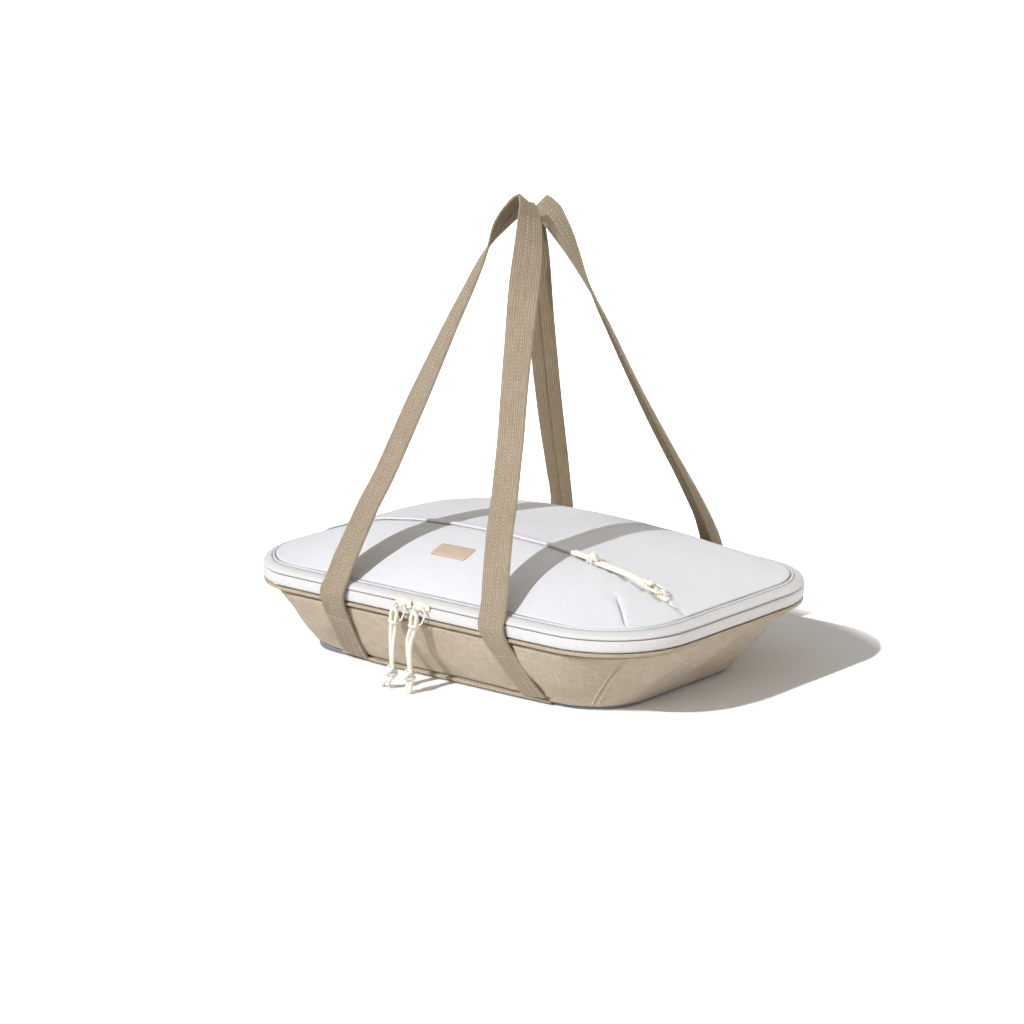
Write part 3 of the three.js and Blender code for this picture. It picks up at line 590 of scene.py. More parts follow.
pullSettings = {
    "left": {
        "path": [(-17.0, -146.1, 58.2), (-17.6, -146.6, 52), (-18.5, -146.8, 44), (-19.2, -146.6, 35),
                 (-19.5, -146.3, 27), (-19.6, -146.2, 21.4)],
        "tails": [(-9.4, 0.2, -12.6), (-5.6, -1.2, -10.6)],
    },
    "right": {
        "path": [(5.3, -146.1, 58.2), (2.4, -146.7, 52.5), (-0.2, -146.9, 45), (-1.3, -146.7, 36),
                 (-1.2, -146.3, 27.5), (-0.8, -146.1, 21.4)],
        "tails": [(-2.2, 0.4, -13.2), (-1.0, -1.0, -12.6)],
    },
}
strandSettings = {
    "radius": 1.7, "apart": 1.72, "spread": 0.3, "sides": 14, "turn": -36,
    "knotRadius": 3.1, "knotTurns": 2.3, "knotPitch": 3.3, "knotSteps": 44, "knotTop": -1.7, "tailTop": -7.6,
    "knotOver": [(1.2, -1.2, -0.6), (3.0, -2.9, -2.4), (1.0, -4.8, -5.0), (-2.2, -3.8, -7.8),
                 (-1.8, -0.8, -9.6)],
}


def tube(path, radius, sides):
    return sweep(tubeRings(path, radius, sides), capped=True)


def makeStrand(name, path, pull, knot):
    s = strandSettings
    stands = [pull + "_cord"] if knot else []
    strand = finishPiece(tube(path, s["radius"], s["sides"]), name, "braid", pull, stands)
    line = [settled(p) for p in path]
    line = [tuple(p * mm) for p in line]


def makeKnot(name, place, tails, pull):
    # two stacked turns, one pass over the front, and the cut tails below
    s = strandSettings
    bm = bmesh.new()
    coil = []
    for i in range(s["knotSteps"] + 1):
        share = i / s["knotSteps"]
        angle = 2 * math.pi * s["knotTurns"] * share + 0.6
        swell = s["knotRadius"] * mix(0.35, 1, ease(share, 0, 0.12)) * mix(1, 0.4, ease(share, 0.88, 1))
        drop = s["knotTop"] - s["knotPitch"] * s["knotTurns"] * share + 0.5 * math.sin(angle)
        coil.append(Vector((math.cos(angle) * swell, math.sin(angle) * swell, drop)))
    joinInto(bm, tube(coil, s["radius"] * 1.02, s["sides"]))
    joinInto(bm, tube(smoothPath(s["knotOver"], 7), s["radius"], s["sides"]))
    for sideways, tip in zip((-1.6, 1.6), tails):
        start = Vector((sideways, 0, s["tailTop"]))
        end = start + Vector(tip)
        tail = smoothPath([start, start + Vector((0.1 * sideways, 0, -2)), start.lerp(end, 0.55), end], 6)
        joinInto(bm, tube(tail, lambda t: s["radius"] * mix(1, 1.18, ease(t, 0.7, 1)), s["sides"]))
    bmesh.ops.transform(bm, matrix=place, verts=bm.verts)
    return finishPiece(bm, name, "braid", pull, [pull + "_knot"])


def makePull(side):
    given, s = pullSettings[side], strandSettings
    pull = side + "_pull"
    knot = makeKnot(side + "KnotVisual", Matrix.Translation(given["path"][-1]), given["tails"], pull)
    for name, shift in (("LeftStrand", -s["apart"]), ("RightStrand", s["apart"])):
        points = []
        for p in given["path"]:  # side by side at the ring, and one before the other lower down
            turn = math.radians(s["turn"] * (1 - ease(p[2], 24, 48)))
            wide = shift * (1 + s["spread"] * ease(p[2], 40, 50) * (1 - ease(p[2], 52, 58)))
            points.append(Vector(p) + Vector((math.cos(turn), math.sin(turn), 0)) * wide)
        makeStrand(side + name, smoothPath(points, 4), pull, knot if shift < 0 else None)


makePull("left")
makePull("right")

# Pocket pull: lies along the lid's curve, toward the left
pocketRun = {
    "centre": Vector((0, -49.5, -489.079)), "radius": 605.852, "rest": 0.2947493, "from": 0.2722, "to": 0.19,
    "over": 2.2, "knotOver": 3.2, "rise": 0.9, "aside": -4.4, "steps": 20,
    "tails": [(-0.6, 1.6, -17.5), (-0.4, 1.5, -18.5)],
}


def runAxes(angle):
    # directions out of the lid and down along it, away from the slider
    return Vector((math.sin(angle), 0, math.cos(angle))), Vector((-math.cos(angle), 0, math.sin(angle)))


def overRun(angle, over, sideways):
    return pocketRun["centre"] + runAxes(angle)[0] * (pocketRun["radius"] + over) + Vector((0, sideways, 0))


def makePocketPull():
    s = pocketRun
    out, down = runAxes(s["to"])
    place = Matrix.Translation(overRun(s["to"], s["knotOver"], s["aside"]))
    turn = Matrix((out.cross(down), -out, -down)).transposed().to_4x4()
    knot = makeKnot("pocketKnotVisual", place @ turn, s["tails"], "pocket_pull")
    for name, shift in (("FrontStrand", -strandSettings["apart"]), ("RearStrand", strandSettings["apart"])):
        path = []
        for share in (i / s["steps"] for i in range(s["steps"] + 1)):
            over = s["over"] + s["rise"] * math.sin(math.pi * share)
            path.append(overRun(mix(s["from"], s["to"], share), over, shift + s["aside"] * ease(share, 0, 1)))
        makeStrand("pocket" + name, path, "pocket_pull", knot if shift < 0 else None)


makePocketPull()
print("carrier: cords made")


# Tray: canvas wall, base, trim

wallSettings = {
    "height": 63.6, "top": 57.9, "bulge": (0.02, 0.09, 0), "cornerSwell": 11.5, "base": (159, 98, 47),
    "rim": (214, 141, 74), "levels": 22, "thickness": 1.2, "slack": 2.9, "creep": 0.55, "seamDip": 1.5,
    "seamWidth": 0.65, "under": 3.2, "tuck": 5.2, "tuckHeight": 6.2, "tuckWidth": 0.62, "bandHalf": 107,
    "slant": (-8, 4), "longSide": 90, "endSide": 140, "fine": (2.2, 3.4, 4.8, 5.5, 5.9, 6.3, 6.7, 7.2, 8.0),
    # folds: place along x, front or rear, height, width, rise, tilt, depth
    "folds": [
        (-110, -1, 34, 7, 22, 0.55, 5.2), (-121, -1, 24, 6, 18, 0.6, -3.6), (-60, -1, 30, 14, 30, -0.35, 1.6),
        (62, -1, 28, 7, 20, -0.5, 3.8), (74, -1, 20, 6, 14, -0.5, -2.4), (112, -1, 30, 9, 24, -0.5, 2.4),
        (0, -1, 30, 40, 24, 0, 1.4), (110, 1, 32, 9, 26, 0.5, 2.2), (-112, 1, 32, 9, 26, -0.5, 1.8),
        (10, 1, 30, 36, 24, 0, 1.4),
    ],
    # folds of both end walls: place along y, height, width, rise, tilt, depth
    "endFolds": [
        (-62, 30, 8, 24, 0.9, 3.4), (-40, 36, 7, 22, 0.9, -2.4), (-12, 30, 9, 26, 0.8, 3.0),
        (22, 34, 8, 22, 0.8, -2.2), (46, 28, 8, 22, 0.7, 2.8),
    ],
    "thread": {"length": 2.0, "gap": 1.6, "thick": 1.0, "lift": 1.6},
    "threadRun": (3.5, 57), "threadApart": 2.4, "threadSteps": 30,
    # the canvas turns in under the base and over at the top: height, how far out
    "turnedUnder": ((2.6, -7), (1.5, -2.8)), "turnedOver": (0.2, -1.6), "topLevels": (-1.2, -0.5, 0),
}


def wallSize(z):
    s = wallSettings
    rise = min(max(z / s["height"], 0), 1)
    swell = math.sin(math.pi * rise)
    table = zip(s["base"], s["rim"], s["bulge"])
    halfX, halfY, radius = (mix(a, b, rise + bulge * swell) for a, b, bulge in table)
    return halfX, halfY, radius + s["cornerSwell"] * swell


def foldAt(along, height, fold):
    place, z, width, rise, tilt, depth = fold
    return depth * bell(along - (height - z) * tilt, place, width) * bell(height, z, rise)


def wallFold(place, seamShare):
    # how far soft canvas stands out, nothing where it is held at its top and foot
    s = wallSettings
    x, y, z = place
    long = abs(y) > s["longSide"]
    hold = min(1, math.sin(math.pi * min(max(z / s["top"], 0), 1)) * 1.6)
    out = s["slack"] * rough(x / 52 + z / 60, y / 44 + z / 40, z / 26)
    out += s["creep"] * rough(x / 15, y / 15, z / 22 + 7)
    out += sum(foldAt(x, z, (at, *rest)) for at, row, *rest in s["folds"] if long and y * row > 0)
    out += sum(foldAt(y, z, fold) for fold in s["endFolds"] if abs(x) > s["endSide"])
    dip = s["seamDip"] * seamShare * (1 + 0.6 * rough(z / 6, x / 40, 3))
    under = s["under"] * ease(z, s["top"] - 2.0, s["top"] + 0.2)
    beside = long * (1 - ease(abs(x), s["bandHalf"] - 6, s["bandHalf"] + 4)) * (1 + 0.5 * bell(abs(x), 94, 13))
    tuck = s["tuck"] * bell(z, s["tuckHeight"], s["tuckWidth"]) * beside
    return out * hold - dip * min(1, hold * 1.4) - under - tuck


def wallPlace(station, z, out=0.0):
    # the corner seams run a little aslant, from under the front and rear up toward the ends
    s = wallSettings
    local = (station[2] + 360) % 90
    toEnd = 1 if station[0] * station[1] < 0 else -1
    slant = toEnd * mix(*s["slant"], z / s["top"]) * math.sin(math.radians(2 * local))
    turned = (station[0], station[1], station[2] + slant)
    fold = wallFold(outlinePlace(turned, wallSize(z), z), bell(local, 45, s["seamWidth"]))
    return outlinePlace(turned, wallSize(z), z, out + fold)


def makeWall():
    s = wallSettings
    top, count = s["top"], s["levels"]
    levels = [*s["fine"], *(top * (i / count) ** 0.9 for i in range(3, count))]
    levels += [top + z for z in s["topLevels"]]
    rings = [outlineRing(wallSize(0), z, out) for z, out in s["turnedUnder"]]
    rings += [[wallPlace(station, z) for station in stations] for z in levels]
    above, out = s["turnedOver"]
    rings.append([wallPlace(station, top + above, out) for station in stations])
    bm = sweep(rings, centres=panelCentres, seams=cornerSeams)
    finishPiece(bm, "trayCanvas", "canvasCloth", "tray", ["tray_shell"], wall=s["thickness"])
    threads = bmesh.new()
    for seam in cornerSeams:
        x, y, face = stations[seam]
        out = Vector((math.cos(math.radians(face)), math.sin(math.radians(face)), -0.6))
        for shift in (-s["threadApart"], s["threadApart"]):
            line = []
            for i in range(s["threadSteps"] + 1):
                z = mix(*s["threadRun"], i / s["threadSteps"])
                line.append((wallPlace((x, y, face + math.degrees(shift / wallSize(z)[2])), z), out))
            joinInto(threads, stitches(line, s["thread"]))
    finishPiece(threads, "cornerStitching", "tanThread", "tray", ())


makeWall()

# the base's rim shows below the wall's foot in grey base cloth, as painted shade
baseRim = [(-6, 2.4), (-1.4, 2.1), (-0.8, 1.6), (-0.7, 0.9), (-1.1, 0.3), (-3, 0.0)]


def makeBase():
    rings = [outlineRing(wallSize(0), z, out) for out, z in baseRim]
    for inset in (12, 30, 60, 90):
        share = inset / wallSettings["base"][1]
        rings.append([p.lerp(Vector(), share) for p in outlineRing(wallSize(0), 0.0)])
    finishPiece(sweep(rings, capped=True), "baseCanvas", "baseCloth", "tray", ["base_panel"])


makeBase()

bandSettings = {
    "halfLength": 107.5, "foot": 103.9, "steps": 60, "taper": 20, "threadFrom": 14, "threadHeight": 3.6,
    "section": [(-3.5, 1.9), (-1.6, 1.8), (-1.0, 2.1), (-0.3, 2.9), (0.5, 3.9), (0.85, 4.6), (0.3, 5.1),
                (-3, 4.7)],
    "thread": {"length": 2.6, "gap": 1.0, "thick": 0.55, "lift": 0.1},
}


def makeBaseBand(side, row):
    s = bandSettings
    half, count = s["halfLength"], s["steps"]
    rings, line = [], []
    for i in range(count + 1):
        x = mix(-half, half, i / count)
        end = 1 - ease(abs(x), half - s["taper"], half)
        drift = 0.35 * rough(x / 16, side * 3, 0)
        foot = s["foot"] - 1.6 * (1 - end) + drift * 0.5
        wide, tall = mix(0.4, 1, end), mix(0.8, 1, end)
        rings.append([Vector((x, side * (foot + out * wide), z * tall + drift * (z / 6)))
                      for out, z in s["section"]])
    node = "base_band_" + row
    finishPiece(sweep(rings, capped=True), row + "BaseBand", "trimCloth", "tray", [node])
    half -= s["threadFrom"]
    for i in range(count):
        x = mix(-half, half, i / (count - 1))
        drift = 0.3 * rough(x / 16, side * 3, 0)
        place = Vector((x, side * (s["foot"] + 0.55 + drift * 0.5), s["threadHeight"] + drift * 0.6))
        line.append((place, Vector((0, side, 0.3))))
    finishPiece(stitches(line, s["thread"]), row + "BaseBandStitching", "tanThread", "tray", ())


makeBaseBand(-1, "front")
makeBaseBand(1, "rear")

# Sections of the rim's trim: outward, height
bindingSection = [(-2.8, 59.4), (-1.0, 59.35), (-0.55, 59.65), (-0.42, 60.3), (-0.4, 61.1), (-0.5, 61.8),
                  (-0.8, 62.15), (-2.8, 62.2), (-3.0, 61)]
lowerTapeSection = [(-2.6, 63.6), (-0.8, 63.55), (-0.3, 64.0), (-0.05, 65.5), (0.12, 68.0), (0.1, 70.4),
                    (-0.1, 71.7), (-0.5, 72.35), (-1.2, 72.6), (-1.6, 72.2), (-2.4, 68)]
upperTapeSection = [(-0.5, 73.3), (0.0, 73.9), *arc((-8, 73.45), (8, 5.1), 20, 90, 7),
                    *arc((-8, 73.6), (6.9, 4.0), 90, 0, 9)]
coilSection = [(-2.1, -1.6), (-1.5, -1.5), (-1.25, -0.9), (-1.3, -0.3), (-1.8, -0.05), (-2.5, -0.1),
               (-2.6, -1)]
pipingSection = arc((-9.6, 78.75), (1.15, 1.15), 0, 360, 12)[:-1]
hingeSection = [(-1.7, 63.3), (-0.9, 63.5), (-0.6, 66), (-0.3, 69), (-0.1, 71), (0, 72.2), (-0.1, 73),
                (-0.1, 73.8), (-0.6, 75.6), (-2.3, 77.0), (-5, 78.2), (-8, 78.5), (-8, 77.5), (-5, 77.2),
                (-2.8, 76.1), (-1.5, 74.8), (-1.1, 73.4), (-1.1, 72.4), (-1.3, 70), (-1.7, 66)]


def makeTrim(name, look, body, node, section, wander):
    bm = sweep(bandRings(stations, section, wander), loopPath=True)
    finishPiece(bm, name, look, body, [node])


def makeZipHalf(row, body, section, side):
    # the ribs of a zip tape stand across it, so its cloth is turned a quarter
    bm = sweep(bandRings(zipStations, section, 0.3), capped=True)
    for _, flat in clothCorners(bm):
        flat.uv = flat.uv.yx
    finishPiece(bm, row + "Tape", "zipTape", body, [row + "_zip_tape"])
    coil = [(out, 73 + side * z) for out, z in coilSection]
    bm = sweep(bandRings(zipStations, coil), capped=True)
    finishPiece(bm, row + "Coil", "coilNylon", body, [row + "_zip_coil"])


def makeHinge():
    # one strip of canvas from the tray's rim to the lid's, bending where they meet
    nodes = ["hinge_gusset_lower", "hinge_gusset_upper"]
    bm = sweep(bandRings(hingeStations, hingeSection), capped=True)
    hinge = finishPiece(bm, "hingeCanvas", "lidCloth", None, nodes)
    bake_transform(hinge)


makeTrim("rimBinding", "trimCloth", "tray", "rim_binding", bindingSection, 0.2)
makeZipHalf("lower", "tray", lowerTapeSection, 1)
makeZipHalf("upper", "lid", upperTapeSection, -1)
makeTrim("lidPiping", "pipingCloth", "lid", "lid_piping", pipingSection, 0.25)
makeHinge()
print("carrier: tray and rim made")


# Lid

lidSettings = {
    "size": (203.6, 130.6, 63.6), "shoulder": 80, "rise": 34,
    "lengthPower": 2.3, "widthPower": 3.2, "edgePower": 6,
    "pocketLine": -49.5, "rings": 44, "slack": 0.8, "pucker": 0.5, "ridge": 1.7, "thickness": 1.2,
    # folds: from, to, width, depth
    "folds": [
        ((158, -81), (189, -110), 1.2, -3.4), ((156, -87), (186, -116), 6.0, 1.2),
        ((162, -75), (194, -104), 7.0, 0.9), ((150, -76), (163, -84), 4.5, -1.5),
        ((-150, -96), (-168, -118), 7, 1.0), ((141, 100), (176, 108), 5, -1.4), ((120, 84), (168, 92), 9, 1.2),
    ],
}


def domeShare(x, y):
    s = lidSettings
    halfX, halfY, _ = s["size"]
    return (1 - min(abs(x) / halfX, 1) ** s["lengthPower"]) * (1 - min(abs(y) / halfY, 1) ** s["widthPower"])


def outlineScale(x, y):
    # how far out a place lies, 1 on the lid's outline
    halfX, halfY, radius = lidSettings["size"]
    ax, ay, cx, cy = abs(x), abs(y), halfX - radius, halfY - radius
    flat = max(ax / halfX, ay / halfY)
    if not (ax > cx * flat and ay > cy * flat):
        return flat
    a, b, c = cx * cx + cy * cy - radius * radius, ax * cx + ay * cy, ax * ax + ay * ay
    return c / (b + math.sqrt(max(b * b - a * c, 0)))


def foldPlace(x, y, fold):
    # share of the way along a fold, and distance from its line
    line, step = Vector(fold[1]) - Vector(fold[0]), Vector((x, y)) - Vector(fold[0])
    return step.dot(line) / line.length_squared, abs(step.cross(line)) / line.length


def lidFold(x, y, g):
    s = lidSettings
    out = s["slack"] * rough(x / 60, y / 45, 2) + 0.3 * rough(x / 20, y / 18, 5)
    out += 0.5 * rough(x / 35 + y / 60, y / 90, 11) * ease(g, 0.4, 0.9)
    out += s["pucker"] * ease(g, 0.8, 0.97) * rough(x / 9, y / 9, 1)
    for fold in s["folds"]:
        t, off = foldPlace(x, y, fold)
        out += fold[3] * bell(off, 0, fold[2]) * ease(t, -0.3, 0.2) * (1 - ease(t, 0.9, 1.25))
    ridge = ease(y, -112, -52) * (1 - ease(y, -47, 60)) * (1 - ease(abs(x), 110, 192))
    return (out + s["ridge"] * ridge) * (1 - ease(g, 0.93, 1))


def lidHeight(x, y):
    s = lidSettings
    g = outlineScale(x, y)
    if g < 1e-4:
        return s["shoulder"] + s["rise"] + lidFold(x, y, 0)
    edge = domeShare(x / g, y / g) * g ** s["edgePower"]
    return s["shoulder"] + s["rise"] * (domeShare(x, y) - edge) + lidFold(x, y, g)


def onLid(x, y, over=0.0):
    return Vector((x, y, lidHeight(x, y) + over))


def lidNormal(x, y, step=1.5):
    slopeX = (lidHeight(x + step, y) - lidHeight(x - step, y)) / (2 * step)
    slopeY = (lidHeight(x, y + step) - lidHeight(x, y - step)) / (2 * step)
    return Vector((-slopeX, -slopeY, 1)).normalized()


def sharpFoldGap(edge):
    # distance of an edge's middle to the sharp fold at the near corner
    fold = lidSettings["folds"][0]
    middle = ((edge.verts[0].co + edge.verts[1].co) / 2).xy
    share = min(max(foldPlace(*middle, fold)[0], 0), 1)
    return (middle - Vector(fold[0]).lerp(Vector(fold[1]), share)).length


def domeMesh(offset, inset=0.0, count=lidSettings["rings"], fineAround=()):
    size = [v - inset for v in lidSettings["size"]]
    loops = []
    for i in range(count):
        g = 1 - (i / count) ** 1.15 * 0.98
        loops.append([onLid(*(p * g).xy, offset) for p in outlineRing(size, 0)])
    bm = sweep(loops)
    inner = [e for e in bm.edges if e.is_boundary and e.verts[0].co.xy.length < 20]
    bmesh.ops.edgeloop_fill(bm, edges=inner)
    for reach in fineAround:
        near = [e for e in bm.edges if sharpFoldGap(e) < reach]
        bmesh.ops.subdivide_edges(bm, edges=near, cuts=2, use_grid_fill=True)
    for vert in bm.verts:
        vert.co = onLid(*vert.co.xy, offset)
    for loop, flat in clothCorners(bm):
        flat.uv = loop.vert.co.xy
    bmesh.ops.recalc_face_normals(bm, faces=bm.faces)
    upward(bm, next(iter(bm.faces)))
    return bm


def cutAlong(bm, y, keepFront):
    bmesh.ops.bisect_plane(bm, geom=bm.verts[:] + bm.edges[:] + bm.faces[:], plane_co=(0, y, 0),
                           plane_no=(0, 1, 0), clear_outer=keepFront, clear_inner=not keepFront)


pocketSettings = {
    "half": 199.0, "coilHalf": 180, "drop": 0.55, "steps": 160, "gap": 3.4,
    "reach": 3.2, "reachRun": (184, 192),
    # sections: across, height
    "tape": [(-6.5, -0.15), (-4, 0.35), (-1.5, 0.43), (0, 0.45), (1.5, 0.43), (4, 0.35), (7.5, 0.05),
             (7.5, -0.45), (-6.5, -0.65)],
    "coil": [(-1.3, 0.5), (-0.9, 1.0), (-0.3, 1.05), (0, 0.8), (0.3, 1.05), (0.9, 1.0), (1.3, 0.5)],
}
flapSettings = {
    "edge": -51.8, "lift": 2.2, "run": 12, "held": (178, 192), "thickness": 0.5,
    "open": (160, 178), "openBy": 3.2, "closed": (184, 193), "wave": 0.35, "ripple": 0.25,
    "turnUnder": ((0, -0.6, -0.4), (0, -0.1, -0.9), (0, 0.7, -0.5), (0, 4.0, -0.1)),
}


def makeFrontPanel():
    s = pocketSettings
    bm = domeMesh(0, fineAround=(14, 6))
    cutAlong(bm, lidSettings["pocketLine"] - s["gap"], True)
    for vert in bm.verts:  # past the slider it reaches back under the flap
        x, y = vert.co.xy
        if vert.is_boundary and y > lidSettings["pocketLine"] - 4:
            vert.co = onLid(x, y + s["reach"] * ease(abs(x), *s["reachRun"]))
    finishPiece(bm, "frontPanel", "lidCloth", "lid", ["lid_front_panel"],
                wall=lidSettings["thickness"], keepNormals=True)


def makeRearPanel():
    s = flapSettings
    bm = domeMesh(0)
    cutAlong(bm, s["edge"], False)
    for vert in bm.verts:
        x, y, z = vert.co
        near = 1 - ease(y, s["edge"], s["edge"] + s["run"])
        z += s["lift"] * near * (1 - ease(abs(x), *s["held"])) + s["ripple"] * near * rough(x / 14, 0, 4)
        y += s["openBy"] * near * ease(x, *s["open"]) * (1 - ease(x, *s["closed"]))
        vert.co = (x, y + s["wave"] * near * rough(x / 30, 8, 4), z)
    # the flap's edge turns under
    front, end = s["edge"] + s["openBy"] + 1.5, s["held"][1]
    edges = [e for e in bm.edges
             if e.is_boundary and all(v.co.y < front and abs(v.co.x) < end for v in e.verts)]
    for shift in s["turnUnder"]:
        made = bmesh.ops.extrude_edge_only(bm, edges=edges)["geom"]
        verts = [g for g in made if isinstance(g, bmesh.types.BMVert)]
        bmesh.ops.translate(bm, vec=shift, verts=verts)
        edges = [g for g in made if isinstance(g, bmesh.types.BMEdge) and all(v in verts for v in g.verts)]
    finishPiece(bm, "rearPanel", "lidCloth", "lid", ["lid_rear_panel"],
                wall=s["thickness"], keepNormals=True)


def makePocketZip():
    s = pocketSettings
    line = lidSettings["pocketLine"]
    places = [mix(-s["half"], s["half"], i / s["steps"]) for i in range(s["steps"] + 1)]
    for name, look, half, slotName in (
        ("Tape", "pocketTapeCloth", math.inf, "tape"), ("Coil", "coilNylon", s["coilHalf"], "nylon"),
    ):
        section = s[name.lower()]
        rings = [[onLid(x, line + y, z - s["drop"]) for y, z in section] for x in places if abs(x) < half]
        node = "pocket_zip_" + name.lower()
        finishPiece(sweep(rings, capped=True), "pocket" + name, look, "lid", [node])


makeFrontPanel()
makeRearPanel()
makePocketZip()

patchSettings = {
    "centre": (-4, -89), "length": 36, "width": 15, "thickness": 0.9, "corner": 2.2, "steps": (18, 9),
    "sewnIn": 1.8, "sewnWidth": 0.8, "sewnDip": 0.22,
    "thread": {"length": 1.6, "gap": 0.8, "thick": 0.6, "lift": 0.16},
}


def makePatch():
    s = patchSettings
    bm = bmesh.new()
    bmesh.ops.create_grid(bm, x_segments=s["steps"][0], y_segments=s["steps"][1], size=0.5)
    halfX, halfY = s["length"] / 2, s["width"] / 2
    inX, inY = halfX - s["corner"], halfY - s["corner"]
    bm.loops.layers.uv.new("cloth")
    for loop, flat in clothCorners(bm):
        flat.uv = (loop.vert.co.x * s["length"], loop.vert.co.y * s["width"])
    for vert in bm.verts:
        x, y = vert.co.x * s["length"], vert.co.y * s["width"]
        over = Vector((max(abs(x) - inX, 0), max(abs(y) - inY, 0)))
        if over.x > 0 and over.y > 0:  # round corner
            over *= max(over.x, over.y) / over.length
            x, y = math.copysign(inX + over.x, x), math.copysign(inY + over.y, y)
        rim = max(abs(x) / halfX, abs(y) / halfY)
        sewn = s["sewnDip"] * bell(min(halfX - abs(x), halfY - abs(y)), s["sewnIn"], s["sewnWidth"])
        high = s["thickness"] * (1 - 0.5 * ease(rim, 0.93, 1)) - sewn + 0.1 * rough(x / 6, y / 6, 0)
        x, y = s["centre"][0] + x, s["centre"][1] + y
        vert.co = onLid(x, y) + lidNormal(x, y) * high
    upward(bm, next(iter(bm.faces)))
    finishPiece(bm, "lidPatch", "patchCloth", "lid", ["lid_patch"],
                wall=s["thickness"] * 0.9, keepNormals=True)
    inX, inY = halfX - s["sewnIn"], halfY - s["sewnIn"]
    corners = [(-inX, -inY), (inX, -inY), (inX, inY), (-inX, inY), (-inX, -inY)]
    threads = bmesh.new()
    for (ax, ay), (bx, by) in zip(corners, corners[1:]):
        line = []
        for i in range(13):
            x, y = s["centre"][0] + mix(ax, bx, i / 12), s["centre"][1] + mix(ay, by, i / 12)
            line.append((onLid(x, y) + lidNormal(x, y) * (s["thickness"] - 0.15), lidNormal(x, y)))
        joinInto(threads, stitches(line, s["thread"]))
    finishPiece(threads, "patchStitching", "whiteThread", "lid", ())


makePatch()

liningSettings = {
    "gap": 8.2, "thickness": 0.6, "rim": ((69.9, 2.6), (70.2, 4.0), (69.8, 6.4), (68.0, 7.6)),
    "run": (64, 13), "floor": 10.6, "corner": 11.2, "shares": (0.15, 0.4, 0.7, 0.97),
    "under": 6.2, "inset": 1.6, "rings": 16, "wallTop": 63, "foot": 12, "footRing": 11.0, "steps": 11,
}


def padLining(bm, body):
    nodes = [body + "_lining", body + "_insulation"]
    lining = finishPiece(bm, body + "Lining", "liningCloth", body, nodes,
                         wall=liningSettings["thickness"], keepNormals=True)


def makeInsides():
    # tray lining, which also takes the place of the padding behind it, then the lid's
    s = liningSettings
    rings = [outlineRing(rimSize, z, -inset) for z, inset in s["rim"]]
    for z in (mix(*s["run"], i / s["steps"]) for i in range(s["steps"] + 1)):
        soft = [0.7 * noise.noise(p / 30) - s["gap"] - 0.6 for p in outlineRing(rimSize, z)]
        size = wallSize(min(z, s["wallTop"]))
        rings.append([outlinePlace(st, size, z, out) for st, out in zip(stations, soft)])
    size, middle = wallSize(s["foot"]), Vector((0, 0, s["floor"]))
    rings.append(outlineRing(size, s["footRing"], -s["corner"]))
    for share in s["shares"]:
        rings.append([p.lerp(middle, share) for p in outlineRing(size, s["floor"], -s["corner"])])
    bm = sweep(rings, centres=panelCentres, seams=cornerSeams)
    floorRim = [e for e in bm.edges if e.is_boundary and e.verts[0].co.z < s["foot"]]
    bmesh.ops.edgeloop_fill(bm, edges=floorRim)
    bmesh.ops.recalc_face_normals(bm, faces=bm.faces)
    upward(bm, min(bm.faces, key=lambda f: f.calc_center_median().z))
    padLining(bm, "tray")
    bm = domeMesh(-s["under"], s["inset"], s["rings"])
    bmesh.ops.reverse_faces(bm, faces=bm.faces)
    for vert in bm.verts:
        vert.co.z -= 0.6 * rough(vert.co.x / 26, vert.co.y / 26, 3)
    padLining(bm, "lid")


makeInsides()
print("carrier: lid and linings made")


# Handles

